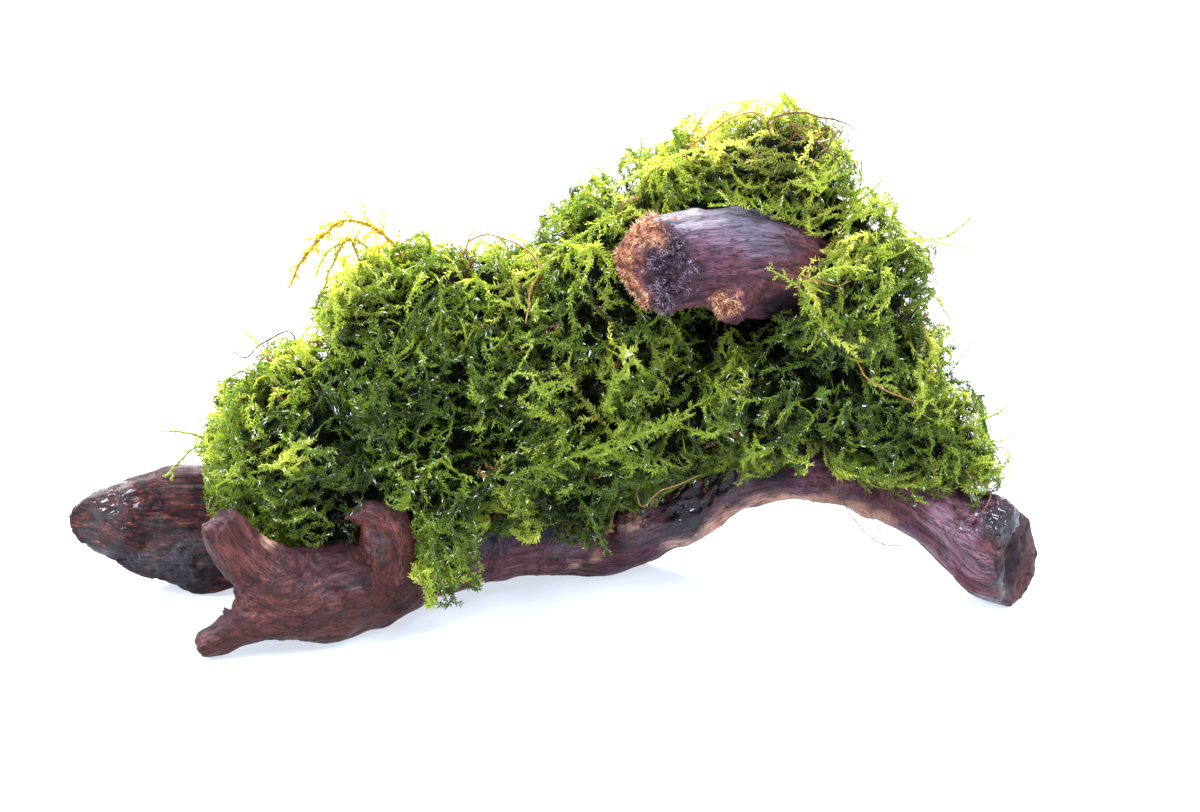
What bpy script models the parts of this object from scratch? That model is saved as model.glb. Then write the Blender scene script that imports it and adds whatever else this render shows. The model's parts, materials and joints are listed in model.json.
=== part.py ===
"""Java moss grown over a small forked piece of driftwood, lying on the undersides of its limbs.

The wood is one branching piece, parted at its main forks. The moss is eight clumps that wrap it.
Lengths below are millimetres, and the scene is metres with +Z up. +X runs along the wood to its
right leg, +Y points to its rear, and the origin is under the middle of the whole piece, on the
surface that it lies on.
"""

import math

import bmesh
import bpy
import numpy as np
from mathutils import Matrix, Vector, noise

MM = 0.001
GAP = 0.3  # between two solids that touch

# A limb of the wood: its route as (x, y, z, half width, half height), thick end first.
TRUNK = [
    (-26.0, -6.0, 13.2, 9.5, 9.2),
    (-11.0, 4.5, 11.0, 9.0, 8.9),
    (1.0, 10.0, 8.6, 8.4, 8.6),
    (13.0, 12.5, 7.4, 8.2, 8.3),
    (28.0, 13.5, 14.0, 7.5, 7.3),
    (38.0, 13.0, 21.2, 7.2, 6.8),
    (51.0, 11.0, 25.8, 7.6, 7.4),
    (64.0, 8.0, 25.5, 8.4, 8.2),
]
RIGHT_LEG = [
    (60.0, 9.5, 26.0, 7.5, 7.5),
    (74.0, 7.0, 22.0, 8.8, 8.4),
    (84.0, 3.5, 16.0, 9.3, 8.8),
    (92.0, -1.0, 10.6, 9.9, 10.2),
    (99.0, -4.0, 9.6, 9.8, 10.0),
    (107.0, -7.5, 8.4, 9.4, 9.6),
]
FRONT_BRANCH = [
    (-20.0, -2.0, 12.6, 8.8, 8.8),
    (-29.0, -8.5, 12.6, 9.6, 9.4),
    (-38.0, -13.6, 10.6, 9.8, 10.2),
    (-47.0, -18.8, 10.0, 9.6, 10.2),
    (-58.0, -24.0, 11.4, 8.4, 9.2),
    (-61.5, -25.2, 11.6, 6.6, 7.6),
]
UPPER_PRONG = [
    (-53.0, -22.0, 12.6, 7.4, 8.2),
    (-59.6, -24.8, 18.6, 5.6, 6.8),
    (-64.2, -26.4, 25.0, 4.6, 5.2),
    (-67.2, -27.2, 31.2, 3.6, 3.9),
]
LOWER_PRONG = [
    (-54.0, -22.5, 9.8, 7.2, 6.8),
    (-62.6, -26.2, 6.6, 4.9, 4.6),
    (-68.5, -28.0, 3.9, 3.8, 3.6),
    (-72.6, -29.0, 2.8, 3.3, 3.0),
]
KNOT_STUB = [
    (-34.5, -16.5, 13.0, 6.4, 7.6),
    (-33.6, -19.0, 21.0, 5.4, 6.6),
    (-34.6, -20.6, 27.2, 4.2, 5.0),
    (-38.2, -21.6, 30.2, 2.8, 2.9),
    (-42.0, -22.3, 29.2, 1.2, 1.3),
]
REAR_BRANCH = [
    (-4.0, 9.0, 9.6, 7.6, 8.0),
    (-26.0, 14.5, 9.4, 9.2, 10.2),
    (-48.0, 11.0, 12.0, 9.8, 12.0),
    (-66.0, 7.0, 13.6, 10.0, 13.9),
    (-77.0, 4.0, 14.2, 9.8, 14.6),
    (-87.0, 3.2, 14.5, 8.4, 12.3),
    (-95.0, 3.2, 15.5, 6.2, 8.2),
    (-102.4, 3.4, 16.0, 2.8, 3.6),
]
UPPER_BRANCH = [
    (66.0, 9.0, 20.0, 9.0, 9.0),
    (67.5, 12.0, 38.0, 8.8, 8.8),
    (63.0, 11.5, 54.0, 9.2, 9.2),
    (54.0, 7.5, 67.5, 9.6, 9.8),
    (42.5, -1.0, 76.2, 10.0, 10.6),
    (31.0, -9.0, 79.8, 9.8, 10.8),
    (19.6, -15.2, 81.3, 9.4, 10.2),
    (10.0, -20.4, 81.7, 9.0, 9.6),
]
TORN_TWIG = [
    (37.0, -7.0, 75.6, 6.0, 6.0),
    (35.6, -12.5, 74.4, 5.4, 5.0),
    (34.4, -17.0, 73.2, 4.2, 4.0),
]
# Limbs that were broken off aslant: a place on the break, and the way the break faces.
BREAKS = {
    "upper_limb": ((19.6, -15.2, 81.5), (-0.62, -0.78, 0.05)),
    "leg_limb": ((97.2, -4.0, 10.4), (0.80, -0.58, 0.12)),
}
# Round swellings where twigs once grew: (x, y, z, radius).
KNOTS = [
    (14.5, 8.6, 11.5, 4.6),
    (28.5, 9.5, 16.6, 3.9),
    (1.0, 5.0, 13.0, 3.6),
    (-45.0, -28.0, 13.0, 3.4),
    (60.0, 2.0, 27.5, 4.0),
    (90.0, -6.0, 17.0, 4.2),
    (92.4, -2.6, 19.4, 5.2),
    (-70.0, -1.0, 20.0, 4.4),
    (36.0, -10.0, 70.0, 4.0),
    (-30.0, 21.0, 12.0, 4.2),
    (66.0, 19.0, 44.0, 4.4),
]
# Hollows rotted or broken into the wood: (x, y, z, radii along x, y and z).
HOLLOWS = [
    (23.8, -18.8, 81.2, 4.4, 3.6, 6.2),
    (48.0, -8.0, 66.5, 4.6, 3.0, 3.0),
    (97.6, -5.6, 10.2, 4.6, 3.2, 5.4),
    (-84.0, -6.0, 20.5, 7.0, 2.2, 2.0),
    (6.0, 2.2, 17.0, 6.0, 1.8, 1.6),
]
RING_SIDES = 22
RING_STEP = 1.6  # spacing of the rings along a limb
WOOD_VOXEL = 0.95  # size of the grid that fuses the limbs
WOOD_TRIANGLES = 3800
RIDGE_DEPTH = 0.055  # share of the radius that the lengthwise ridges stand out
RIDGE_COUNT = 7
LUMP_DEPTH = 0.16  # share of the radius that the broad lumps stand out
GROUND_WEAR = 0.0  # height of the plane that flattens the undersides

# Each clump of moss and its swellings: (x, y, z, radii along x, y and z). A clump keeps clear of the
# ones before it, so the last ones fill what the others leave.
MOSS_CLUMPS = {
    "moss_crown": [
        (32.0, 12.0, 81.0, 18.0, 18.0, 20.0),
        (46.0, 13.0, 82.0, 17.0, 18.0, 20.0),
        (59.0, 6.0, 68.0, 17.0, 20.0, 18.5),
        (46.0, 5.0, 96.5, 14.0, 11.0, 11.0),
    ],
    "moss_left_mound": [
        (-51.0, -4.0, 35.5, 21.0, 20.0, 22.5),
        (-56.0, 0.0, 24.0, 13.0, 16.0, 14.0),
        (-46.0, 13.0, 26.0, 15.0, 12.0, 12.0),
    ],
    "moss_leg_skirt": [
        (66.5, 6.0, 46.0, 17.0, 19.0, 20.0),
        (78.0, 5.0, 34.0, 14.0, 15.0, 12.0),
        (85.0, 2.0, 32.5, 8.5, 10.0, 9.2),
        (64.0, 19.0, 40.0, 12.0, 12.0, 14.0),
    ],
    "moss_front_tuft": [
        (-22.0, -19.0, 23.0, 8.0, 8.0, 12.5),
        (-20.0, -14.0, 32.0, 9.0, 9.0, 9.0),
    ],
    "moss_middle_mound": [
        (-32.5, 1.0, 53.5, 18.0, 22.0, 24.5),
        (-26.0, 2.0, 57.5, 18.5, 19.0, 23.0),
        (-27.0, -4.0, 34.0, 19.0, 19.0, 18.0),
        (-25.0, 13.0, 28.0, 15.0, 12.0, 12.0),
    ],
    "moss_saddle": [
        (-8.0, 4.0, 53.0, 22.0, 22.0, 24.0),
        (12.5, 8.0, 62.6, 20.5, 21.0, 26.6),
    ],
    "moss_right_mound": [
        (46.0, 5.0, 46.0, 20.0, 18.0, 17.0),
        (32.0, 8.0, 44.0, 17.0, 16.0, 18.0),
        (56.0, 10.0, 58.0, 16.0, 16.0, 14.0),
        (36.0, 20.0, 54.0, 17.0, 13.0, 20.0),
        (44.0, 12.0, 33.0, 13.0, 10.0, 9.0),
    ],
    "moss_apron": [
        (-4.0, 1.0, 34.0, 20.0, 20.0, 17.0),
        (16.0, 5.0, 38.0, 19.0, 17.0, 16.0),
        (6.0, 0.0, 22.0, 8.0, 10.0, 8.0),
        (11.0, 12.0, 21.0, 15.0, 10.5, 11.0),
        (28.0, 13.5, 26.0, 14.0, 9.5, 10.0),
        (-6.0, 17.0, 30.0, 17.0, 13.0, 15.0),
    ],
}
MOSS_VOXEL = 2.4  # size of the grid that fuses a clump's swellings
MOSS_TRIANGLE_AREA = 27.5  # square millimetres of moss to each triangle
MOSS_LUMP_HEIGHT = 2.6
MOSS_LUMP_SPACING = 11.0
MOSS_LOWEST = 1.2  # the moss clears the surface by this
WOOD_CLEARANCE = 1.3  # how far the wood's room in the moss is let out, before it is made coarser
CLUMP_CLEARANCE = 0.7  # the same between two clumps

WOOD_COLOUR = (0.115, 0.042, 0.03)
BROKEN_WOOD_COLOUR = (0.19, 0.085, 0.05)
MOSS_COLOUR = (0.085, 0.19, 0.018)
WOOD_ROUGHNESS = 0.38
MOSS_ROUGHNESS = 0.6


def clear_scene():
    for thing in list(bpy.data.objects):
        bpy.data.objects.remove(thing)


def finish(name, colour, roughness):
    made = bpy.data.materials.new(name)
    made.use_nodes = True
    shader = made.node_tree.nodes["Principled BSDF"]
    shader.inputs["Base Color"].default_value = (*colour, 1.0)
    shader.inputs["Roughness"].default_value = roughness
    shader.inputs["Metallic"].default_value = 0.0
    return made


def new_object(name, mesh):
    made = bpy.data.objects.new(name, mesh)
    bpy.context.scene.collection.objects.link(made)
    return made


def helper(made):
    made.hide_render = True
    made.display_type = "WIRE"
    return made


def mesh_from(name, shape):
    """A mesh of this bmesh, whose faces are turned outwards."""
    bmesh.ops.recalc_face_normals(shape, faces=shape.faces)
    mesh = bpy.data.meshes.new(name)
    shape.to_mesh(mesh)
    shape.free()
    return mesh


def smooth_route(stations):
    """Rows read from a smooth curve through the stations, about one ring step apart."""
    rows = np.array(stations, float)
    rows = np.vstack([2 * rows[0] - rows[1], rows, 2 * rows[-1] - rows[-2]])
    found = []
    for a, b, c, d in zip(rows, rows[1:], rows[2:], rows[3:]):
        count = max(2, round(np.linalg.norm((c - b)[:3]) / RING_STEP))
        for t in np.arange(count) / count:
            found.append(
                0.5 * (2 * b + (c - a) * t + (2 * a - 5 * b + 4 * c - d) * t**2)
                + 0.5 * (3 * b - a - 3 * c + d) * t**3
            )
    return np.array(found + [rows[-2]])


def grown_radius(angle, along, seed):
    """How far the bark stands out at this place, as a share of the limb's radius."""
    around = Vector((math.cos(angle), math.sin(angle), 0.0))
    lump = noise.noise(around * 0.9 + Vector((seed * 7.3, 0.0, along * 0.075)))
    grain = noise.noise(around * RIDGE_COUNT / 2 + Vector((0.0, seed * 3.1, along * 0.03)))
    return 1.0 + LUMP_DEPTH * lump + RIDGE_DEPTH * 2 * grain


def limb(name, stations, seed):
    """A closed limb with lumps and lengthwise ridges, its end cut across and broken a little uneven."""
    route = smooth_route(stations)
    places = [Vector(row[:3]) for row in route]
    shape = bmesh.new()
    steep = abs((places[1] - places[0]).normalized().z) > 0.9
    up = Vector((-1.0, 0.0, 0.0)) if steep else Vector((0.0, 0.0, 1.0))
    rings = []
    along = 0.0
    for i, (row, place) in enumerate(zip(route, places)):
        ahead = (places[min(i + 1, len(places) - 1)] - places[max(i - 1, 0)]).normalized()
        side = ahead.cross(up).normalized()
        up = side.cross(ahead).normalized()
        along += (place - places[max(i - 1, 0)]).length
        last = i == len(route) - 1
        ring = []
        for k in range(RING_SIDES):
            angle = 2 * math.pi * k / RING_SIDES
            out = side * (math.cos(angle) * row[3]) + up * (math.sin(angle) * row[4])
            point = place + out * grown_radius(angle, along, seed)
            if last:
                point += ahead * (1.6 * noise.noise(point * 0.35))
            ring.append(shape.verts.new(point * MM))
        rings.append(ring)
    for near, far in zip(rings, rings[1:]):
        for k in range(RING_SIDES):
            after = (k + 1) % RING_SIDES
            shape.faces.new((near[k], near[after], far[after], far[k]))
    for ring in (rings[0], rings[-1]):
        middle = shape.verts.new(sum((v.co for v in ring), Vector()) / RING_SIDES)
        for k in range(RING_SIDES):
            shape.faces.new((ring[k], ring[(k + 1) % RING_SIDES], middle))
    return helper(new_object(name, mesh_from(name, shape)))


def ellipsoid(name, centre, radii, rounds=3):
    shape = bmesh.new()
    place = Matrix.Translation(Vector(centre) * MM) @ Matrix.Diagonal((*[r * MM for r in radii], 1.0))
    bmesh.ops.create_icosphere(shape, subdivisions=rounds, radius=1.0, matrix=place)
    return helper(new_object(name, mesh_from(name, shape)))


def block(name, low, high, turn=Matrix.Identity(4)):
    """A box from one corner to the other, in millimetres, then turned and placed by a matrix."""
    shape = bmesh.new()
    bmesh.ops.create_cube(shape, size=1.0)
    size = Vector(high) - Vector(low)
    middle = (Vector(high) + Vector(low)) / 2
    place = Matrix.Translation(middle * MM) @ Matrix.Diagonal((*(size * MM), 1.0))
    bmesh.ops.transform(shape, matrix=turn @ place, verts=shape.verts)
    return helper(new_object(name, mesh_from(name, shape)))


def with_modifier(source, kind, **settings):
    """The mesh that this modifier makes of the object, which is left as it was."""
    modifier = source.modifiers.new(kind, kind)
    for key, value in settings.items():
        setattr(modifier, key, value)
    graph = bpy.context.evaluated_depsgraph_get()
    made = bpy.data.meshes.new_from_object(source.evaluated_get(graph))
    source.modifiers.remove(modifier)
    return made


def reshape(target, kind, **settings):
    """Replaces the object's mesh by what the modifier makes of it."""
    target.data = with_modifier(target, kind, **settings)


def combine(target, other, operation):
    reshape(target, "BOOLEAN", object=other, operation=operation, solver="EXACT")


def joined(name, pieces):
    """One object that holds the meshes of all these objects, not yet fused."""
    shape = bmesh.new()
    for piece in pieces:
        shape.from_mesh(piece.data)
    mesh = bpy.data.meshes.new(name)
    shape.to_mesh(mesh)
    shape.free()
    return helper(new_object(name, mesh))


def keep_largest(target):
    """Drops every part of the mesh that isn't joined to its largest one."""
    shape = bmesh.new()
    shape.from_mesh(target.data)
    left = set(shape.verts)
    groups = []
    while left:
        group = {left.pop()}
        edge = list(group)
        while edge:
            vertex = edge.pop()
            near = {e.other_vert(vertex) for e in vertex.link_edges} - group
            group |= near
            edge.extend(near)
        left -= group
        groups.append(group)
    largest = max(groups, key=len)
    bmesh.ops.delete(shape, geom=[v for v in shape.verts if v not in largest], context="VERTS")
    bmesh.ops.triangulate(shape, faces=shape.faces)
    shape.to_mesh(target.data)
    shape.free()


def push_out(target, height, spacing, seed):
    """Moves each vertex along its normal by smooth noise of this height and spacing, in millimetres."""
    mesh = target.data
    normals = [v.normal.copy() for v in mesh.vertices]
    for vertex, normal in zip(mesh.vertices, normals):
        where = vertex.co / (MM * spacing) + Vector((seed, seed * 2.0, 0.0))
        vertex.co += normal * (height * MM * noise.noise(where))
    mesh.update()


def inflate(target, distance):
    mesh = target.data
    normals = [v.normal.copy() for v in mesh.vertices]
    for vertex, normal in zip(mesh.vertices, normals):
        vertex.co += normal * (distance * MM)
    mesh.update()


def decimate(target, triangles):
    reshape(target, "TRIANGULATE")
    share = min(1.0, triangles / len(target.data.polygons))
    reshape(target, "DECIMATE", decimate_type="COLLAPSE", ratio=share, use_collapse_triangulate=True)


def whole_wood():
    """The whole branching piece as one closed mesh."""
    limbs = [
        limb("trunk_limb", TRUNK, 1),
        limb("leg_limb", RIGHT_LEG, 2),
        limb("front_limb", FRONT_BRANCH, 3),
        limb("upper_prong_limb", UPPER_PRONG, 4),
        limb("lower_prong_limb", LOWER_PRONG, 5),
        limb("knot_limb", KNOT_STUB, 6),
        limb("rear_limb", REAR_BRANCH, 7),
        limb("upper_limb", UPPER_BRANCH, 8),
        limb("twig_limb", TORN_TWIG, 9),
    ]
    for name, (place, direction) in BREAKS.items():
        beyond = block(name + "_beyond", (0, -30, -30), (40, 30, 30), facing(place, direction))
        combine(bpy.data.objects[name], beyond, "DIFFERENCE")
    for i, (x, y, z, radius) in enumerate(KNOTS):
        limbs.append(ellipsoid(f"knot_{i}", (x, y, z), (radius, radius, radius * 0.9)))
    wood = joined("whole_wood", limbs)
    reshape(wood, "REMESH", mode="VOXEL", voxel_size=WOOD_VOXEL * MM)
    push_out(wood, 0.9, 7.0, 3.0)
    push_out(wood, 0.45, 2.6, 8.0)
    for i, hollow in enumerate(HOLLOWS):
        combine(wood, ellipsoid(f"hollow_{i}", hollow[:3], hollow[3:], 2), "DIFFERENCE")
    decimate(wood, WOOD_TRIANGLES)
    combine(wood, block("underside", (-200, -100, -50), (200, 100, GROUND_WEAR)), "DIFFERENCE")
    keep_largest(wood)
    return wood


def facing(start, direction):
    """A matrix whose X axis points in this direction, from this start in millimetres, with Z kept up."""
    ahead = Vector(direction).normalized()
    side = Vector((0.0, 0.0, 1.0)).cross(ahead).normalized()
    turned = Matrix((ahead, side, ahead.cross(side))).transposed().to_4x4()
    return Matrix.Translation(Vector(start) * MM) @ turned


def part_off(rest, name, start, direction, reach, left, right, down, up):
    """Takes from rest what lies in a box that starts at a plane across a limb, and leaves a gap there."""
    place = facing(start, direction)
    inner = block(f"{name}_box", (0, -right, -down), (reach, left, up), place)
    outer = block(
        f"{name}_room",
        (-GAP, -right - GAP, -down - GAP),
        (reach + GAP, left + GAP, up + GAP),
        place,
    )
    piece = new_object(name, rest.data.copy())
    combine(piece, inner, "INTERSECT")
    combine(rest, outer, "DIFFERENCE")
    keep_largest(piece)
    return piece


def wood_pieces(wood):
    """The wood parted at its main forks."""
    rest = new_object("trunk", wood.data.copy())
    upper = part_off(rest, "upper_branch", (66.5, 10.5, 34.5), (0.06, 0.1, 1.0), 90, 60, 60, 60, 60)
    leg = part_off(rest, "right_leg", (71.5, 7.2, 22.4), (0.86, -0.3, -0.42), 70, 40, 40, 40, 40)
    front = part_off(rest, "front_branch", (-23.5, -4.2, 12.6), (-0.82, -0.57, 0.0), 80, 60, 11.5, 60, 60)
    rear = part_off(rest, "rear_branch", (-24.0, 13.0, 10.0), (-1.0, 0.0, 0.0), 100, 40, 40, 60, 60)
    high = part_off(front, "front_upper_prong", (-58.4, -24.0, 16.4), (-0.6, -0.2, 0.78), 40, 30, 30, 6.5, 30)
    low = part_off(front, "front_lower_prong", (-60.8, -25.0, 8.6), (-0.83, -0.33, -0.45), 40, 30, 30, 30, 8)
    keep_largest(rest)
    keep_largest(front)
    return [rest, upper, leg, front, rear, high, low]


def room_for_wood(wood):
    """The wood let out and made coarser, to be cut from the moss."""
    room = helper(new_object("room_for_wood", wood.data.copy()))
    inflate(room, WOOD_CLEARANCE)
    reshape(room, "REMESH", mode="VOXEL", voxel_size=WOOD_VOXEL * 1.5 * MM)
    decimate(room, WOOD_TRIANGLES * 0.35)
    return room


def surface_of(target):
    """The object's surface in square millimetres."""
    return sum(face.area for face in target.data.polygons) / MM**2


def clump_of_moss(name, swellings, seed):
    """A clump as one lumpy closed mesh, before anything is cut from it."""
    balls = [
        ellipsoid(f"{name}_swelling_{i}", row[:3], row[3:]) for i, row in enumerate(swellings)
    ]
    clump = joined(name + "_grown", balls)
    reshape(clump, "REMESH", mode="VOXEL", voxel_size=MOSS_VOXEL * MM)
    push_out(clump, MOSS_LUMP_HEIGHT, MOSS_LUMP_SPACING, seed)
    push_out(clump, MOSS_LUMP_HEIGHT * 0.5, MOSS_LUMP_SPACING * 0.4, seed + 4.0)
    decimate(clump, surface_of(clump) / MOSS_TRIANGLE_AREA)
    return clump


def moss_pieces(wood):
    """The clumps, each cut clear of the wood and of the clumps before it."""
    taken = [room_for_wood(wood), block("under_moss", (-200, -100, -50), (200, 100, MOSS_LOWEST))]
    pieces = []
    for i, (name, swellings) in enumerate(MOSS_CLUMPS.items()):
        grown = clump_of_moss(name, swellings, 5.0 + i)
        piece = new_object(name, grown.data.copy())
        for room in taken:
            combine(piece, room, "DIFFERENCE")
        keep_largest(piece)
        pieces.append(piece)
        inflate(grown, CLUMP_CLEARANCE)
        taken.append(grown)
    return pieces


def place_on_origin(pieces):
    """Moves every mesh so that the middle of their common box, at its lowest, is the origin."""
    points = np.array([v.co for piece in pieces for v in piece.data.vertices])
    low, high = points.min(axis=0), points.max(axis=0)
    move = Vector((-(low[0] + high[0]) / 2, -(low[1] + high[1]) / 2, -low[2]))
    for piece in pieces:
        piece.data.transform(Matrix.Translation(move))
        piece.data.update()
    print("moved by", [round(value / MM, 2) for value in move], "size", np.round((high - low) / MM, 1))


def main():
    clear_scene()
    wood = whole_wood()
    limbs = wood_pieces(wood)
    clumps = moss_pieces(wood)
    bark = finish("wet driftwood", WOOD_COLOUR, WOOD_ROUGHNESS)
    broken = finish("broken driftwood", BROKEN_WOOD_COLOUR, WOOD_ROUGHNESS)
    green = finish("java moss", MOSS_COLOUR, MOSS_ROUGHNESS)
    for piece in limbs:
        piece.data.materials.clear()
        piece.data.materials.append(broken if piece.name == "right_leg" else bark)
    for piece in clumps:
        piece.data.materials.clear()
        piece.data.materials.append(green)
    place_on_origin(limbs + clumps)
    for piece in limbs + clumps:
        print(piece.name, len(piece.data.polygons))


main()
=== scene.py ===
# %% [markdown]
# # Java moss on driftwood
#
# The object is a small forked piece of wet driftwood, about 200 mm long, overgrown with java moss.
# This lesson dresses its plain solids. The wood becomes one continuous piece with grain, cracks and
# frayed ends, and each solid clump of moss becomes some hundreds of leafy shoots. Lengths are written
# in millimetres and turned to metres where a mesh is made.

# %% Load the frame
import json
import math
from functools import partial

import bmesh
import bpy
import numpy as np
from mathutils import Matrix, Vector
from mathutils.bvhtree import BVHTree

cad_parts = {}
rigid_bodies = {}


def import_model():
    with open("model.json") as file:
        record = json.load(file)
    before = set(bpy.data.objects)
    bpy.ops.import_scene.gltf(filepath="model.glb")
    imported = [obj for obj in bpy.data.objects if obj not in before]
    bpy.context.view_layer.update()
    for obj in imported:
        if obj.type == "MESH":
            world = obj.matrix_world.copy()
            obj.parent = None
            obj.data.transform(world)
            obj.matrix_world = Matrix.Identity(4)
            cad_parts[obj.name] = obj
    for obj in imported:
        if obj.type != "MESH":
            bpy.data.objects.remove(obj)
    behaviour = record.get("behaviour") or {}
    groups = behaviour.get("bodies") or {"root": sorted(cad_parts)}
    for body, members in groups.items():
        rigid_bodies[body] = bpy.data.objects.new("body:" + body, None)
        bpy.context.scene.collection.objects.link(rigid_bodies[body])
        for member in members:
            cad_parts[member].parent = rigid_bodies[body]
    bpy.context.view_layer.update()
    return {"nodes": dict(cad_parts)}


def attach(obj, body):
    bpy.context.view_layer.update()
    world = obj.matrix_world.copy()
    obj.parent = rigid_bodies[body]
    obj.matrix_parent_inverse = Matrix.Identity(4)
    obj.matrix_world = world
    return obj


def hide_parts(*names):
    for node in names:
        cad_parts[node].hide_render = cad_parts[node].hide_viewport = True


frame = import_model()
MM = 0.001

# %% [markdown]
# ## Small helpers
#
# Colours are written as the hex values that a colour picker shows, which are sRGB, and a shader wants
# linear light, so one function turns them. Another adds a node with its settings and its links in one
# call, which keeps each material readable as a list of its nodes. Trees of Geometry Nodes are built by
# the same function, and what they need from a vertex is stored on the mesh under a name.


# %% Helpers for colours and nodes
def linear(hex_colour):
    """The linear RGBA of an sRGB colour such as #4a2622."""
    values = [int(hex_colour[i:i + 2], 16) / 255 for i in (1, 3, 5)]
    return (*[v / 12.92 if v <= 0.04045 else ((v + 0.055) / 1.055) ** 2.4 for v in values], 1.0)


def add_node(tree, kind, settings=None, **links):
    """Adds a node. A link's value is another node's output, or a plain value for that input."""
    node = tree.nodes.new(kind)
    for key, value in (settings or {}).items():
        setattr(node, key, value)
    for key, value in links.items():
        name = key.replace("_", " ")
        socket = node.inputs[int(key[1:])] if key[0] == "i" and key[1:].isdigit() else node.inputs[name]
        if isinstance(value, bpy.types.NodeSocket):
            tree.links.new(value, socket)
        else:
            socket.default_value = value
    return node


def result(tree, kind, settings=None, **links):
    """The first output of a new node."""
    return add_node(tree, kind, settings, **links).outputs[0]


def new_material(name):
    """An empty material and its node tree, with the output node."""
    made = bpy.data.materials.new(name)
    made.use_nodes = True
    made.node_tree.nodes.clear()
    return made, made.node_tree, made.node_tree.nodes.new("ShaderNodeOutputMaterial")


def ramp(tree, value, *stops):
    """A colour ramp over a value, whose stops are (position, hex colour)."""
    node = add_node(tree, "ShaderNodeValToRGB", Fac=value)
    band = node.color_ramp.elements
    while len(band) < len(stops):
        band.new(0.5)
    for element, (position, colour) in zip(band, stops):
        element.position = position
        element.color = linear(colour)
    return node.outputs["Color"]


def mixed(tree, factor, first, second, blend="MIX"):
    """Two colours mixed by a factor."""
    settings = {"data_type": "RGBA", "blend_type": blend}
    node = add_node(tree, "ShaderNodeMix", settings, i0=factor, i6=first, i7=second)
    return node.outputs[2]


def math_of(tree, operation, first, second=0.0):
    """One step of arithmetic with numbers."""
    return result(tree, "ShaderNodeMath", {"operation": operation}, i0=first, i1=second)


def vector_of(tree, operation, first, second=(0.0, 0.0, 0.0), scale=1.0):
    """One step of arithmetic with vectors."""
    settings = {"operation": operation}
    return result(tree, "ShaderNodeVectorMath", settings, i0=first, i1=second, i3=scale)


def noise_of(tree, vector, scale, detail=4.0, rough=0.6):
    """A noise from 0 to 1."""
    return result(tree, "ShaderNodeTexNoise", Vector=vector, Scale=scale, Detail=detail, Roughness=rough)


def attribute_of(tree, name, socket="Fac"):
    """What a mesh stores under this name, read in a material."""
    return add_node(tree, "ShaderNodeAttribute", {"attribute_name": name}).outputs[socket]


def skinned(made, tree, output, **inputs):
    """The material, once a principled shader with these inputs is linked to its output."""
    tree.links.new(result(tree, "ShaderNodeBsdfPrincipled", **inputs), output.inputs[0])
    return made


# %% Helpers for trees of Geometry Nodes
def new_tree(name, *sockets):
    """A tree that turns geometry into geometry, and its inputs, with more of them as (name, kind)."""
    tree = bpy.data.node_groups.new(name, "GeometryNodeTree")
    tree.interface.new_socket("Geometry", in_out="OUTPUT", socket_type="NodeSocketGeometry")
    for label, kind in (("Geometry", "Geometry"), *sockets):
        tree.interface.new_socket(label, in_out="INPUT", socket_type="NodeSocket" + kind)
    return tree, tree.nodes.new("NodeGroupInput").outputs


def field_of(tree, name, kind="FLOAT"):
    """What a mesh stores under this name, read in a tree of Geometry Nodes."""
    return result(tree, "GeometryNodeInputNamedAttribute", {"data_type": kind}, Name=name)


def ended(tree, geometry, material):
    """The tree, once the geometry has this material and is linked to the output."""
    done = result(tree, "GeometryNodeSetMaterial", Geometry=geometry, Material=material)
    tree.links.new(done, tree.nodes.new("NodeGroupOutput").inputs[0])
    return tree


# %% Helpers for meshes
def new_object(name, data):
    """A new object of the scene around this mesh, lamp or camera."""
    made = bpy.data.objects.new(name, data)
    bpy.context.scene.collection.objects.link(made)
    return made


def applied(target, kind, **settings):
    """Applies one modifier of this kind to the object's mesh."""
    modifier = target.modifiers.new(kind, kind)
    for key, value in settings.items():
        setattr(modifier, key, value)
    graph = bpy.context.evaluated_depsgraph_get()
    made = bpy.data.meshes.new_from_object(target.evaluated_get(graph))
    target.modifiers.remove(modifier)
    target.data = made


def by_nodes(piece, tree, inputs):
    """The piece's mesh after a Geometry Nodes tree, with the inputs given by name."""
    modifier = piece.modifiers.new(tree.name, "NODES")
    modifier.node_group = tree
    known = {s.name: s.identifier for s in tree.interface.items_tree if s.in_out == "INPUT"}
    for key, value in inputs.items():
        modifier[known[key]] = value
    graph = bpy.context.evaluated_depsgraph_get()
    made = bpy.data.meshes.new_from_object(piece.evaluated_get(graph))
    piece.modifiers.clear()
    piece.data = made
    made.name = piece.name
    return piece


def joined(target, other):
    """Adds another object's mesh to the target."""
    both = [target, other]
    with bpy.context.temp_override(
        object=target, active_object=target, selected_objects=both, selected_editable_objects=both
    ):
        bpy.ops.object.join()


def vectors_of(mesh, kind):
    """The places or the normals of a mesh's vertices, as rows of x, y, z."""
    values = np.empty(len(mesh.vertices) * 3)
    mesh.vertices.foreach_get(kind, values)
    return values.reshape(-1, 3)


def points_of(mesh):
    """The places of a mesh's vertices, in millimetres."""
    return vectors_of(mesh, "co") / MM


def triangle_count(mesh):
    """How many triangles a mesh has."""
    mesh.calc_loop_triangles()
    return len(mesh.loop_triangles)


def store(mesh, name, values):
    """Stores a number, or a vector, for each vertex of a mesh."""
    kind, member = ("FLOAT", "value") if values.ndim == 1 else ("FLOAT_VECTOR", "vector")
    layer = mesh.attributes.new(name, kind, "POINT")
    layer.data.foreach_set(member, values.astype(np.float32).ravel())


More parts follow.
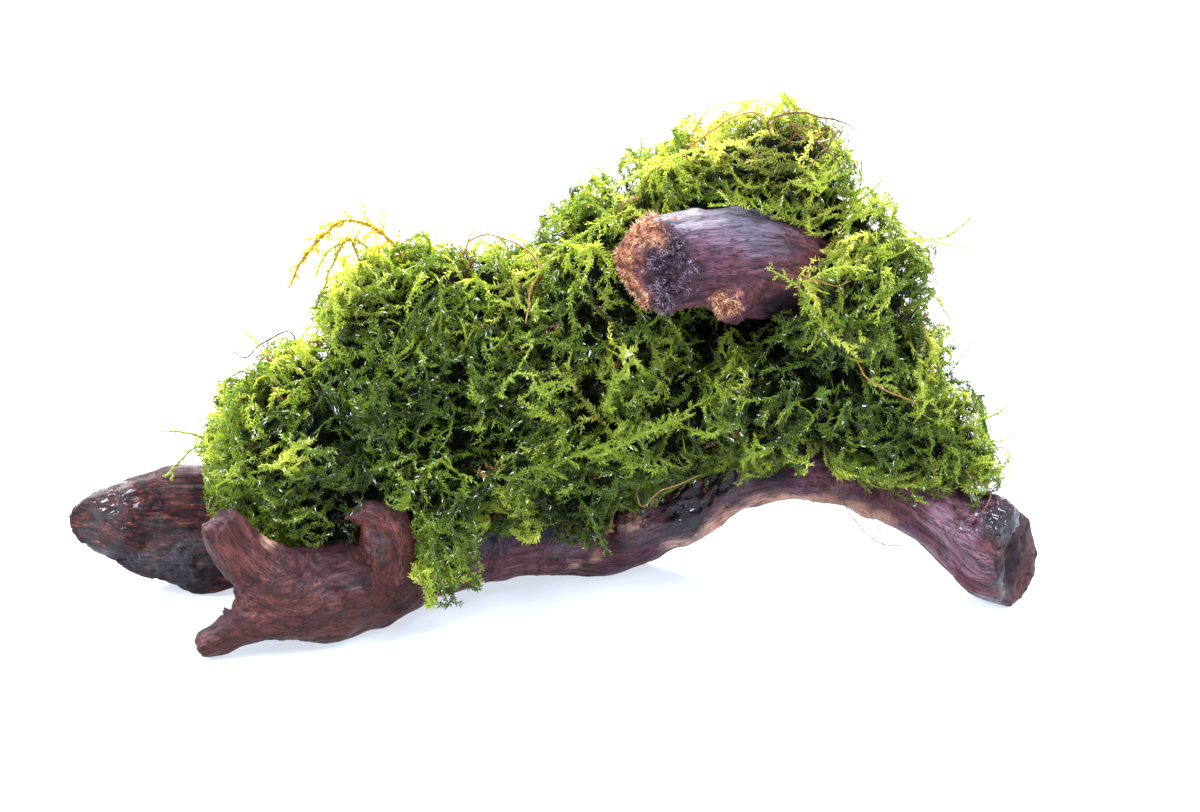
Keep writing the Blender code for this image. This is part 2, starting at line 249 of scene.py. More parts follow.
def lattice_value(cell, seed):
    """A repeatable number from -1 to 1 for each whole-number cell."""
    x, y, z = (cell[..., i].astype(np.int64) for i in range(3))
    mix = (x * 374761393 + y * 668265263 + z * 1440662683 + seed * 974634777) & 0xFFFFFFFF
    mix = ((mix ^ (mix >> 13)) * 1274126177) & 0xFFFFFFFF
    return ((mix ^ (mix >> 16)) & 0xFFFF) / 32767.5 - 1.0


def smooth_noise(points, seed):
    """Smooth noise from -1 to 1 at each point, with bumps about one unit apart."""
    low = np.floor(points)
    t = points - low
    t = t * t * (3.0 - 2.0 * t)
    total = 0.0
    for corner in np.ndindex(2, 2, 2):
        step = np.array(corner)
        weight = np.prod(np.where(step == 1, t, 1.0 - t), axis=-1)
        total = total + weight * lattice_value(low + step, seed)
    return total


def rough_noise(points, seed, octaves=3):
    """Octaves of smooth noise, each finer and weaker than the last."""
    return sum(smooth_noise(points * 2.0**i, seed + i) * 0.5**i for i in range(octaves))


def drift(points, size, seed):
    """A smooth random vector at each point."""
    return np.stack([smooth_noise(points / size, seed + i) for i in range(3)], axis=1)


# %% [markdown]
# ## The driftwood
#
# Driftwood is the hard heart of a root or branch after water has worn away the bark. The solids split
# it at its forks, with a hair's gap between them, so their meshes are joined, fused by a voxel remesh
# that is wider than the gap, and smoothed until the facets are gone. The result is one closed mesh fine
# enough to carve grain into.

# %% Fuse the limbs into one piece of wood
WOOD_NODES = [
    "trunk", "right_leg", "upper_branch", "rear_branch",
    "front_branch", "front_upper_prong", "front_lower_prong",
]
WOOD_GRID = 0.6  # voxel size that closes the gaps between the limbs


def joined_copy(name, nodes):
    """A new object that holds copies of these nodes' meshes, with doubled corners merged."""
    shape = bmesh.new()
    for node in nodes:
        shape.from_mesh(frame["nodes"][node].data)
    bmesh.ops.remove_doubles(shape, verts=shape.verts, dist=0.01 * MM)
    mesh = bpy.data.meshes.new(name)
    shape.to_mesh(mesh)
    shape.free()
    return new_object(name, mesh)


wood = joined_copy("driftwood", WOOD_NODES)
applied(wood, "REMESH", mode="VOXEL", voxel_size=WOOD_GRID * MM)
applied(wood, "SMOOTH", factor=0.5, iterations=9)
print("driftwood", len(wood.data.vertices), "vertices")

# %% [markdown]
# Wood grain runs along a limb and follows its bends, so a pattern in plain object coordinates looks
# wrong at every fork. Each vertex gets a place in the grain instead: how far it lies along its limb,
# and how far off the limb's middle line, in a frame that is carried along the limb. Where two limbs
# meet, both places are blended by nearness. A noise that is slow along the first number and quick over
# the other two draws fibres. The middle lines are the routes that the solids were lofted along.

# %% Middle lines of the limbs
ROUTE_SHIFT = np.array([0.04, -1.06, 0.0])  # from the routes' own origin to the middle of the footprint
LIMBS = {  # points (x, y, z) and the limb's mean radius there
    "trunk": [(-26, -6, 13.2, 9.4), (-11, 4.5, 11, 9), (1, 10, 8.6, 8.5), (13, 12.5, 7.4, 8.3),
              (28, 13.5, 14, 7.4), (38, 13, 21.2, 7), (51, 11, 25.8, 7.5), (64, 8, 25.5, 8.3)],
    "leg": [(60, 9.5, 26, 7.5), (74, 7, 22, 8.6), (84, 3.5, 16, 9), (92, -1, 10.6, 10),
            (99, -4, 9.6, 9.9), (107, -7.5, 8.4, 9.5)],
    "front": [(-20, -2, 12.6, 8.8), (-29, -8.5, 12.6, 9.5), (-38, -13.6, 10.6, 10), (-47, -18.8, 10, 10),
              (-58, -24, 11.4, 8.8), (-61.5, -25.2, 11.6, 7)],
    "upper prong": [(-53, -22, 12.6, 7.8), (-59.6, -24.8, 18.6, 6.2), (-64.2, -26.4, 25, 4.9),
                    (-67.2, -27.2, 31.2, 3.8)],
    "lower prong": [(-54, -22.5, 9.8, 7), (-62.6, -26.2, 6.6, 4.8), (-68.5, -28, 3.9, 3.7),
                    (-72.6, -29, 2.8, 3.2)],
    "knot stub": [(-34.5, -16.5, 13, 7), (-33.6, -19, 21, 6), (-34.6, -20.6, 27.2, 4.6),
                  (-38.2, -21.6, 30.2, 2.9), (-42, -22.3, 29.2, 1.3)],
    "rear": [(-4, 9, 9.6, 7.8), (-26, 14.5, 9.4, 9.6), (-48, 11, 12, 10.8), (-66, 7, 13.6, 12),
             (-77, 4, 14.2, 12), (-87, 3.2, 14.5, 10.3), (-95, 3.2, 15.5, 7.2), (-102.4, 3.4, 16, 3.2)],
    "upper": [(66, 9, 20, 9), (67.5, 12, 38, 8.8), (63, 11.5, 54, 9.2), (54, 7.5, 67.5, 9.7),
              (42.5, -1, 76.2, 10.3), (31, -9, 79.8, 10.3), (19.6, -15.2, 81.3, 9.8),
              (10, -20.4, 81.7, 9.3)],
    "twig": [(37, -7, 75.6, 6), (35.6, -12.5, 74.4, 5.2), (34.4, -17, 73.2, 4.1)],
}
BREAKS = [  # limbs broken off aslant: a place on the break, the way it faces, its reach, and how rough
    ((19.6, -15.2, 81.5), (-0.62, -0.78, 0.05), 15.0, 1.0),
    ((97.2, -4.0, 10.4), (0.80, -0.58, 0.12), 15.0, 0.3),
]
LIMB_STEP = 1.5
GRAIN_STRETCH = 0.11  # how much slower the grain changes along a limb than across it
GRAIN_APART = (17.3, 5.1)  # sets the grain of one limb apart from the next, along and across
FORK_BLEND = 7.0  # how sharply one limb's grain gives way to another's
END_LENGTH = 2.0  # how far a limb's broken end reaches back
BREAK_DEPTH = 1.5  # how far the torn wood of a slanting break reaches back
NO_END = -9.0


def smooth_route(stations, step):
    """Rows read from a smooth curve through the stations, about this far apart."""
    rows = np.array(stations, float)
    rows = np.vstack([2 * rows[0] - rows[1], rows, 2 * rows[-1] - rows[-2]])
    found = []
    for a, b, c, d in zip(rows, rows[1:], rows[2:], rows[3:]):
        count = max(2, round(np.linalg.norm((c - b)[:3]) / step))
        for t in np.arange(count) / count:
            found.append(
                b + 0.5 * (c - a) * t
                + 0.5 * (2 * a - 5 * b + 4 * c - d) * t**2
                + 0.5 * (3 * b - a - 3 * c + d) * t**3
            )
    return np.array(found + [rows[-2]])


def limb_frame(stations):
    """The middle line, its directions, two carried side directions, its lengths so far and radii."""
    route = smooth_route(stations, LIMB_STEP)
    centre = route[:, :3] + ROUTE_SHIFT
    ahead = np.gradient(centre, axis=0)
    ahead /= np.linalg.norm(ahead, axis=1, keepdims=True)
    side = np.zeros_like(centre)
    steep = abs(ahead[0][2]) > 0.9
    last = np.array([-1.0, 0.0, 0.0]) if steep else np.array([0.0, 0.0, 1.0])
    for i, direction in enumerate(ahead):
        last = last - direction * last.dot(direction)
        last /= np.linalg.norm(last)
        side[i] = last
    steps = np.linalg.norm(np.diff(centre, axis=0), axis=1)
    along = np.concatenate([[0.0], np.cumsum(steps)])
    return centre, ahead, side, np.cross(ahead, side), along, route[:, 3]


def grain_places(points):
    """Each point's place in the grain, and how much it lies at a broken end, from 0 to 1."""
    places = []
    nearness = []
    ends = []
    for i, stations in enumerate(LIMBS.values()):
        centre, ahead, side, up, along, radius = limb_frame(stations)
        gap = ((points[:, None, :] - centre[None]) ** 2).sum(axis=2)
        j = gap.argmin(axis=1)
        offset = points - centre[j]
        forward = (offset * ahead[j]).sum(axis=1)
        across = offset - ahead[j] * forward[:, None]
        place = np.stack([
            (along[j] + forward) * GRAIN_STRETCH + i * GRAIN_APART[0],
            (across * side[j]).sum(axis=1) + i * GRAIN_APART[1],
            (across * up[j]).sum(axis=1),
        ], axis=1)
        places.append(place)
        nearness.append(np.linalg.norm(offset, axis=1) / radius[j])
        ends.append(np.where(j == len(centre) - 1, forward + END_LENGTH, NO_END))
    nearness = np.array(nearness)
    weight = np.exp(-FORK_BLEND * (nearness**2 - nearness.min(axis=0) ** 2))
    weight /= weight.sum(axis=0)
    blended = (np.array(places) * weight[..., None]).sum(axis=0)
    broken = np.clip((np.array(ends) * weight).sum(axis=0) / END_LENGTH, 0.0, 1.0)
    for place, facing, reach, rough in BREAKS:
        offset = points - np.array(place) - ROUTE_SHIFT
        near = np.linalg.norm(offset, axis=1) < reach
        torn = np.clip(BREAK_DEPTH + offset @ np.array(facing), 0.0, 1.0)
        broken = np.maximum(broken, rough * torn * near)
    return blended, broken


# %% [markdown]
# The carving itself is a displacement along the normals. Rounded ridges follow the grain, narrow
# cracks open where a second noise passes through zero, and the broken ends get short columns like the
# stumps of fibres. Each depth is what worn root wood shows: a few tenths of a millimetre for grain and
# up to a millimetre in a crack.

# %% Carve grain, cracks and broken ends
WANDER, WANDER_SIZE = 0.35, 9.0  # how far the grain strays, and how soon it turns back
RIDGE_HEIGHT, RIDGE_SIZE = 0.2, 1.7
FINE_HEIGHT, FINE_SIZE = 0.13, 0.8
CRACK_DEPTH, CRACK_WIDTH = 0.8, 0.09
VEIN_SIZES = np.array([1.0, 3.0, 3.0])  # a crack's wander along the grain and across it
BARK_HEIGHT, BARK_SIZE = 0.42, 2.6
BARK_SHAPE = np.array([1.6, 1.0, 1.0])
BROKEN_HEIGHT = 0.9
STUMPS = np.array([0.3, 0.9, 0.9])  # stumps of fibres are longer along the grain
CRINKLE_HEIGHT, CRINKLE_SIZE = 0.5, 1.8
FLAT_BELOW, FLAT_TOP = 0.35, 0.3  # wood that lies below the first height isn't raised over the second
CRACKED_LIMBS = [(-85, 4, 14, 30), (30, -9, 79, 14), (94, -2, 12, 12)]  # x, y, z, reach
BARK_LIMB = [(-84, 4, 14, 34), (-66, 4, 14, 28)]
SWELLS = [(16.4, 5.5, 13.5, 6, 1.4), (28.5, 6.5, 18, 7, -1.0)]  # a knob and a hollow, with their heights
CRINKLED = [
    (28.5, 6.5, 18, 11), (36, 6, 22, 8), (17, 5, 13, 8), (-80, -6, 10, 13), (91, -6, 23, 10),
    (-36, -21, 22, 7),
]


def near_spots(points, spots):
    """From 1 at the middle of a spot down to 0 at its reach, for spots (x, y, z, reach)."""
    best = np.zeros(len(points))
    for x, y, z, reach in spots:
        away = np.linalg.norm(points - np.array([x, y, z]), axis=1) / reach
        best = np.maximum(best, np.clip(1.0 - away, 0.0, 1.0))
    return best


def carve(target):
    """Displaces the wood and stores what the material needs to know about each vertex."""
    mesh = target.data
    points = points_of(mesh)
    normals = vectors_of(mesh, "normal")
    grain, broken = grain_places(points)
    waves = grain + WANDER * drift(points, WANDER_SIZE, 40)
    ridges = rough_noise(waves / RIDGE_SIZE, 1, 2)
    fine = rough_noise(waves / FINE_SIZE, 5, 2)
    barky = np.clip(1.6 * near_spots(points, BARK_LIMB), 0.0, 1.0)
    plates = rough_noise(waves * BARK_SHAPE / BARK_SIZE, 17, 3)
    vein = np.abs(smooth_noise(waves / VEIN_SIZES, 9))
    cracked = 0.12 + 1.5 * near_spots(points, CRACKED_LIMBS) + 0.4 * smooth_noise(points / 12.0, 3)
    crack = np.clip(1.0 - vein / CRACK_WIDTH, 0.0, 1.0) ** 1.5 * np.clip(cracked, 0.0, 1.0)
    stumps = rough_noise(grain * STUMPS, 13, 2)
    height = RIDGE_HEIGHT * ridges + FINE_HEIGHT * fine - CRACK_DEPTH * crack + BARK_HEIGHT * barky * plates
    height = height * (1.0 - 0.6 * broken) + BROKEN_HEIGHT * stumps * broken
    creases = 0.6 - 2.0 * np.abs(smooth_noise(points / CRINKLE_SIZE, 33))
    height = height + CRINKLE_HEIGHT * np.clip(2.0 * near_spots(points, CRINKLED), 0.0, 1.0) * creases
    for x, y, z, reach, rise in SWELLS:
        near = near_spots(points, [(x, y, z, reach)])
        height = height + rise * near * near * (3.0 - 2.0 * near)
    lifted = points + normals * height[:, None]
    low = points[:, 2] < FLAT_BELOW
    lifted[low, 2] = np.minimum(lifted[low, 2], FLAT_TOP)
    lifted[:, 2] = np.maximum(lifted[:, 2], 0.0)
    mesh.vertices.foreach_set("co", (lifted * MM).ravel())
    store(mesh, "grain", grain)
    store(mesh, "crack", crack)
    mesh.update()
    mesh.shade_smooth()
    print("carved", len(points), "vertices, broken share", round(float(broken.mean()), 3))


carve(wood)


# %% [markdown]
# Soaked root wood is dark red brown. Spots of it are painted nearly black: partly dark wet wood on broken
# ends, and partly painted shade in its hollows and along the low edge of the rear branch. Its skin of water
# turns purple grey where it mirrors the pale surroundings, and this reflection is painted into the colour on
# surfaces that face up and on a few spots, with a painted highlight on the knob. It breaks into sharp glints
# where the wood is crinkled. Where the wood was broken, dry-looking orange fibres show, and where it was
# rubbed, as under the arch and on the leg, it is pink tan; under the arch that tan is also painted light
# from the floor. Cracks are painted near black as shade. The rear branch still has its dark, fibrous outer
# wood. The material mixes these by the stored grain and by soft-edged spots around the places where the
# real wood shows them.

# %% Wet driftwood
WET_WOOD_IOR = 1.34
DRY_LEVEL = 0.34  # how strongly the wood mirrors where no water stands on it
FILM = (0.02, 0.5)  # weight of the water film, on damp and on wet wood
FRAYED = [  # broken wood with orange fibres: (x, y, z, reach)
    (15.5, -13.5, 86, 7), (19, -16.5, 88.5, 6), (14, -12.5, 81, 5.5), (15, -13.5, 75.5, 5.5),
    (17.5, -15.5, 73.5, 5), (34.4, -18.5, 73.2, 4.6),
]
SPOTS = {  # where the wood is special, for each kind
    # Near-black spots: dark wet wood on broken ends, and painted shade in the hollows and along the low edge
    # of the rear branch.
    "dark": [(28.5, 6.5, 18, 9.5), (35, 6, 22.5, 7), (10.5, 5.5, 15, 4.5), (46, 4.5, 26, 7),
             (23.5, -19.2, 80.5, 8.5), (22.5, -19, 85, 6), (21.5, -18, 75.5, 5.5), (101, -9, 11, 14),
             (47, -9, 68, 7.5), (93, -7, 20, 6), (-78, -6, 6, 9), (-90, -5, 9, 7), (-38, -22, 14, 5),
             (-51, -26, 9, 4)],
    "wet": [(28.5, 6.5, 18, 12), (36, 6, 22, 9), (19, 5, 13, 9), (3, 3, 12, 9), (-80, -7, 11, 11),
            (-93, 0, 18, 9), (92, -10, 5, 6), (-37, -21, 22, 7), (91, -6, 23, 9), (-27, -13, 14, 8)],
    "bare": [(84, -9, 15.5, 7.5), (80.5, -6.5, 19.5, 5.5), (88.5, -11, 12, 5.5)],
    # Pink tan worn wood; under the arch it is also painted light from the floor, and on the knob a painted
    # highlight.
    "rubbed": [(27, 7, 8, 4.5), (33, 7, 11.6, 5), (38, 6, 14.4, 5.5), (43, 5.5, 16.8, 5.5), (48, 5, 18, 5.5),
               (53, 4.5, 18.4, 5.5), (58, 4, 18.6, 5.5), (64, 2.5, 18, 5.5), (69, 1, 17, 4.5),
               (4, 3, 6.5, 3), (8, 4, 7.5, 3), (16.4, 5, 14.5, 3.5), (-58, -25, 25, 3)],
    "deep": [(-71, -30, 5, 14), (-45, -18, 10, 34), (-66, -27, 26, 18), (-90, 3, 14, 40), (101, -8, 10, 17)],
    "orange": FRAYED,
    "torn": [*FRAYED, (23.5, -19.2, 80.5, 7.5), (22.5, -19, 85, 6), (21.5, -18, 75.5, 5.5)],
    "bark": [(-86, 3, 14, 28), (-68, 4, 14, 26), (-101, 4, 16, 13)],
    # Painted reflection: purple grey on the upper stub's top and the trunk's front, and a painted highlight
    # on the knob.
    "haze": [(38, -8, 92, 18), (27, -14, 93, 10), (-2, 0, 17, 9), (16.4, 5.5, 14.5, 4.5), (-14, -6, 18, 8)],
}
PATCHY_SPOTS = ("orange", "torn")
PATCHES, PATCH_SIZE = 0.35, 2.2  # how far the edge of a patchy spot strays, and how finely
WAVES, WAVE_SIZE = 0.30, 5.0  # the same for the other spots
SOFT_SPOTS = ("haze", "rubbed", "deep")


def paint_masks(target):
    """Stores how strongly each kind of spot acts at each vertex, with wandering soft edges."""
    points = points_of(target.data)
    waves = WAVES * rough_noise(points / WAVE_SIZE, 21)
    patches = PATCHES * rough_noise(points / PATCH_SIZE, 25)
    for name, spots in SPOTS.items():
        near = near_spots(points, spots)
        edge = (patches if name in PATCHY_SPOTS else waves) * (near > 0)
        mask = (near + 0.4 * edge) * 1.7 if name in SOFT_SPOTS else (near + edge) * 2.4 - 0.3
        store(target.data, name, np.clip(mask, 0.0, 1.0))


def wet_driftwood():
    """Worn root wood soaked in water: red brown fibres under a film of water, with painted shade and painted
    reflections in its colour.
    """
    made, tree, output = new_material("wet driftwood")
    stored = partial(attribute_of, tree)
    noise = partial(noise_of, tree)
    product = partial(math_of, tree, "MULTIPLY")
    grain = stored("grain", "Vector")
    place = add_node(tree, "ShaderNodeTexCoord").outputs["Object"]
    normal = add_node(tree, "ShaderNodeNewGeometry").outputs["Normal"]
    height = add_node(tree, "ShaderNodeSeparateXYZ", Vector=normal).outputs["Z"]
    upward = result(tree, "ShaderNodeMapRange", i0=height, i1=0.25, i2=0.95)
    lit = result(tree, "ShaderNodeMapRange", i0=height, i1=-0.1, i2=0.6)
    soft = math_of(tree, "SUBTRACT", 1.0, stored("bark"))
    fibres = noise(grain, 2.3, 5.0, 0.72)
    strands = noise(grain, 0.55, 4.0)
    patches = noise(place, 1 / (11 * MM), 3.0)
    stains = noise(place, 1 / (5 * MM), 4.0)

    red = ramp(tree, strands, (0.30, "#361819"), (0.50, "#552a26"), (0.72, "#734238"))
    plum = ramp(tree, strands, (0.32, "#2a141f"), (0.52, "#5a3345"), (0.72, "#7e5466"))
    purple = ramp(tree, patches, (0.38, "#808080"), (0.60, "#f0f0f0"))
    purple = math_of(tree, "SUBTRACT", purple, stored("deep"))
    colour = mixed(tree, purple, red, plum)
    colour = mixed(tree, product(stored("deep"), 0.6), colour, linear("#b8a4a0"), "MULTIPLY")
    # Painted reflection: the purple grey that the water mirrors is mixed into the colour on its spots, less
    # where the surface faces down, and on all surfaces that face up except bark.
    haze = ramp(tree, strands, (0.30, "#3a3440"), (0.52, "#554d5c"), (0.72, "#6c6372"))
    colour = mixed(tree, product(stored("haze"), lit), colour, haze)
    painted_top_reflection = product(product(upward, soft), 0.2)
    colour = mixed(tree, painted_top_reflection, colour, haze)
    tan = ramp(tree, strands, (0.32, "#4a343c"), (0.5, "#6a4a54"), (0.7, "#866672"))
    colour = mixed(tree, stored("bare"), colour, tan)
    # Pink tan of worn wood, which also stands for painted light under the arch and a painted highlight on the
    # knob.
    rubbed = ramp(tree, strands, (0.32, "#84584a"), (0.5, "#b0826c"), (0.7, "#cca288"))
    colour = mixed(tree, stored("rubbed"), colour, rubbed)
    bark = ramp(
        tree, noise(grain, 1.1, 6.0, 0.75), (0.38, "#0c0306"), (0.48, "#230b0f"), (0.55, "#3f1714"),
        (0.62, "#652f20"), (0.70, "#96593a"),
    )
    colour = mixed(tree, stored("bark"), colour, bark)
    lines = ramp(tree, fibres, (0.40, "#3c3036"), (0.47, "#c4bcc0"), (0.54, "#ffffff"))
    colour = mixed(tree, 0.6, colour, lines, "MULTIPLY")
    seam = math_of(tree, "ABSOLUTE", math_of(tree, "SUBTRACT", noise(grain, 0.8, 2.0), 0.5))
    seams = ramp(tree, seam, (0.0, "#4a3a3e"), (0.014, "#8a7c80"), (0.028, "#ffffff"))
    colour = mixed(tree, 0.8, colour, seams, "MULTIPLY")
    # The near-black colour of those spots, partly dark wood and partly painted shade.
    dark = ramp(tree, fibres, (0.40, "#0a0507"), (0.58, "#24131c"))
    specks = ramp(tree, stains, (0.34, "#6a6068"), (0.46, "#ffffff"))
    colour = mixed(tree, 0.6, colour, specks, "MULTIPLY")
    colour = mixed(tree, stored("dark"), colour, dark)
    tufts = noise(place, 1 / (1.8 * MM), 5.0, 0.75)
    rust = ramp(tree, tufts, (0.40, "#3a1c1e"), (0.5, "#884e38"), (0.62, "#c88c66"))
    colour = mixed(tree, stored("orange"), colour, rust)
    # Cracks are painted near black: painted shade in the carved cracks.
    colour = mixed(tree, stored("crack"), colour, linear("#0a0506"))

    wetness = noise(place, 1 / (8 * MM), 3.0)
    spread = result(tree, "ShaderNodeMapRange", i0=wetness, i1=0.36, i2=0.62, i3=0.38, i4=0.62)
    rough = math_of(tree, "ADD", spread, product(stored("orange"), 0.4))
    rough = math_of(tree, "ADD", rough, product(stored("bark"), 0.25))
    rough = math_of(tree, "SUBTRACT", rough, product(stored("wet"), 0.5))
    rough = math_of(tree, "MAXIMUM", rough, 0.1)
    film = result(tree, "ShaderNodeMapRange", i0=stored("wet"), i3=FILM[0], i4=FILM[1])
    ripple = math_of(tree, "ADD", noise(grain, 3.6, 6.0, 0.7), product(fibres, 0.9))
    crinkle = product(noise(place, 1 / (1.3 * MM), 3.0), stored("wet"))
    frayed = product(noise(place, 1 / (0.8 * MM), 4.0), stored("orange"))
    ripple = math_of(tree, "ADD", ripple, product(crinkle, 6.0))
    ripple = math_of(tree, "ADD", ripple, product(frayed, 2.0))
    bump = add_node(tree, "ShaderNodeBump", Strength=0.75, Distance=0.26 * MM, Height=ripple)
    return skinned(
        made, tree, output, Base_Color=colour, Roughness=rough, IOR=WET_WOOD_IOR,
        Specular_IOR_Level=DRY_LEVEL, Coat_Weight=film, Coat_Roughness=0.06, Normal=bump.outputs[0],
    )


paint_masks(wood)
wood.data.materials.clear()
wood.data.materials.append(wet_driftwood())
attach(wood, "root")
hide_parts(*WOOD_NODES)


# %% [markdown]
# Broken wood ends in a brush of torn fibres. Where the orange is strongest, thin cones stand on the
# surface, each as long as a torn fibre and leaning a little its own way. They are scattered by Geometry
# Nodes with a fixed seed and made real, so they are one plain mesh in the end.

# %% Torn fibres on the broken wood
FIBRES = {  # the tree's number inputs: fibres to a square metre, and metres
    "Density": 9e6, "Fibre Length": 1.0 * MM, "Fibre Radius": 0.09 * MM, "Lean": 1.2,
}


def torn_fibres(material):
    """A tree that stands thin cones on a surface where it is torn."""
    tree, given = new_tree("torn fibres", *[(name, "Float") for name in FIBRES])
    chosen = math_of(tree, "GREATER_THAN", field_of(tree, "torn"), 0.5)
    density = math_of(tree, "MULTIPLY", given["Density"], chosen)
    spread = add_node(
        tree, "GeometryNodeDistributePointsOnFaces", {"distribute_method": "RANDOM"},
        Mesh=given["Geometry"], Density=density, Seed=8,
    )
    lean = result(
        tree, "FunctionNodeRandomValue", {"data_type": "FLOAT_VECTOR"},
        i0=(-1.0, -1.0, -1.0), i1=(1.0, 1.0, 1.0), Seed=3,
    )
    lean = vector_of(tree, "SCALE", lean, scale=given["Lean"])
    way = vector_of(tree, "ADD", spread.outputs["Normal"], lean)
    turned = result(tree, "FunctionNodeAlignRotationToVector", {"axis": "Z"}, Vector=way)
    cone = result(
        tree, "GeometryNodeMeshCone", {"fill_type": "NONE"},
        Vertices=3, Radius_Top=0.0, Radius_Bottom=given["Fibre Radius"], Depth=given["Fibre Length"],
    )
    size = add_node(tree, "FunctionNodeRandomValue", i2=0.4, i3=1.5, Seed=4).outputs[1]
    cones = result(
        tree, "GeometryNodeInstanceOnPoints", Points=spread.outputs["Points"], Instance=cone,
        Rotation=turned, Scale=size,
    )
    real = result(tree, "GeometryNodeRealizeInstances", Geometry=cones)
    return ended(tree, real, material)


def fibre_finish():
    """Dry-looking orange fibres, lighter in some tufts than in others."""
    made, tree, output = new_material("torn wood fibres")
    place = add_node(tree, "ShaderNodeTexCoord").outputs["Object"]
    tufts = noise_of(tree, place, 1 / (1.6 * MM), 3.0, 0.5)
    orange = ramp(tree, tufts, (0.38, "#64382a"), (0.5, "#b87e56"), (0.62, "#e8c09a"))
    brown = ramp(tree, tufts, (0.38, "#2a1d28"), (0.5, "#594553"), (0.64, "#8a7484"))
    colour = mixed(tree, attribute_of(tree, "orange"), brown, orange)
    return skinned(made, tree, output, Base_Color=colour, Roughness=0.7)


splinters = new_object("torn_fibres", wood.data.copy())
by_nodes(splinters, torn_fibres(fibre_finish()), FIBRES)
print("torn fibres", len(splinters.data.polygons), "faces")
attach(splinters, "root")


# %% [markdown]
# ## The moss, and the space it fills
#
# Java moss grows as a mat of thin shoots that run over what they cling to, cross each other, and branch
# to both sides like a loose feather. The eight moss solids hold its form. The shoots need to know where
# they are in it, so its outside is fused into one mat, and the distance to that mat's surface is
# measured once over a grid of points. Any point between is then read from its eight neighbours, which
# costs almost nothing, and the slope of the distance tells which way is out. The wood gets a grid of
# its own, so that shoots creep over it and not through it. A third grid holds the depth under the
# outside of moss and wood together, which tells where no light comes.

# %% Distance fields of the moss and the wood
MOSS_NODES = [
    "moss_crown", "moss_left_mound", "moss_middle_mound", "moss_saddle",
    "moss_right_mound", "moss_leg_skirt", "moss_apron", "moss_front_tuft",
]
MAT_GRID = 1.6  # voxel size that closes the gaps between the clumps
FIELD_STEP = 2.2
FIELD_MARGIN = 12.0


def unit(vectors):
    """Each vector at a length of one."""
    return vectors / np.maximum(np.linalg.norm(vectors, axis=-1, keepdims=True), 1e-9)


def tree_of(mesh):
    """A search tree that finds the nearest place on a mesh."""
    shape = bmesh.new()
    shape.from_mesh(mesh)
    found = BVHTree.FromBMesh(shape)
    shape.free()
    return found


class DistanceField:
    """The signed distance from a closed mesh, below zero inside it, and its slope, in millimetres."""

    def __init__(self, mesh, low, high):
        """Measures the distance at each point of a grid that fills the box from low to high."""
        surface = tree_of(mesh)
        axes = [np.arange(a, b + FIELD_STEP, FIELD_STEP) for a, b in zip(low, high)]
        grid = np.stack(np.meshgrid(*axes, indexing="ij"), axis=-1)
        values = np.empty(grid.shape[:3])
        flat = values.reshape(-1)
        for i, point in enumerate((grid.reshape(-1, 3) * MM).tolist()):
            place, normal, _, distance = surface.find_nearest(point)
            flat[i] = math.copysign(distance / MM, (Vector(point) - place).dot(normal))
        self.low = np.array([axis[0] for axis in axes])
        self.values = np.stack([values, *np.gradient(values, FIELD_STEP)], axis=-1)

    def at(self, points):
        """The distance at each point, and the unit vector that leads away from the mesh."""
        place = (points - self.low) / FIELD_STEP
        place = np.clip(place, 0.0, np.array(self.values.shape[:3]) - 1.001)
        cell = place.astype(int)
        t = place - cell
        total = 0.0
        for corner in np.ndindex(2, 2, 2):
            weight = np.prod(np.where(corner, t, 1.0 - t), axis=-1)
            i, j, k = (cell + corner).T
            total = total + weight[:, None] * self.values[i, j, k]
        return total[:, 0], unit(total[:, 1:])


def fused(name, nodes):
    """One closed, smoothed mesh around these nodes."""
    made = joined_copy(name, nodes)
    applied(made, "REMESH", mode="VOXEL", voxel_size=MAT_GRID * MM)
    applied(made, "SMOOTH", factor=0.5, iterations=4)
    return made


mat = fused("moss mat guide", MOSS_NODES)
bulk = fused("moss and wood guide", MOSS_NODES + WOOD_NODES)
space_low = points_of(mat.data).min(axis=0) - FIELD_MARGIN
space_high = points_of(mat.data).max(axis=0) + FIELD_MARGIN
moss_field = DistanceField(mat.data, space_low, space_high)
wood_field = DistanceField(wood.data, space_low, space_high)
bulk_field = DistanceField(bulk.data, space_low, space_high)
bpy.data.objects.remove(bulk)
print("distance grids of", moss_field.values.shape[:3], "points")


# %% [markdown]
# ## Growing the shoots
#
# All shoots grow together, one short step at a time. At each step a shoot turns a little: towards its
# own height in the mat, along the way the moss around it lies, and at random. It is pushed off the wood
# and kept above the ground. Side shoots start along a finished shoot, to its left and right in turn,
# and grow by the same rule. What comes out is only paths with a few numbers on each point. The leaves
# come later.
#
# A real mat isn't level: tufts stand up and dark hollows open between them. A slow noise lowers and
# raises the height that shoots steer for, and this relief is what gives the mat its deep shadows.

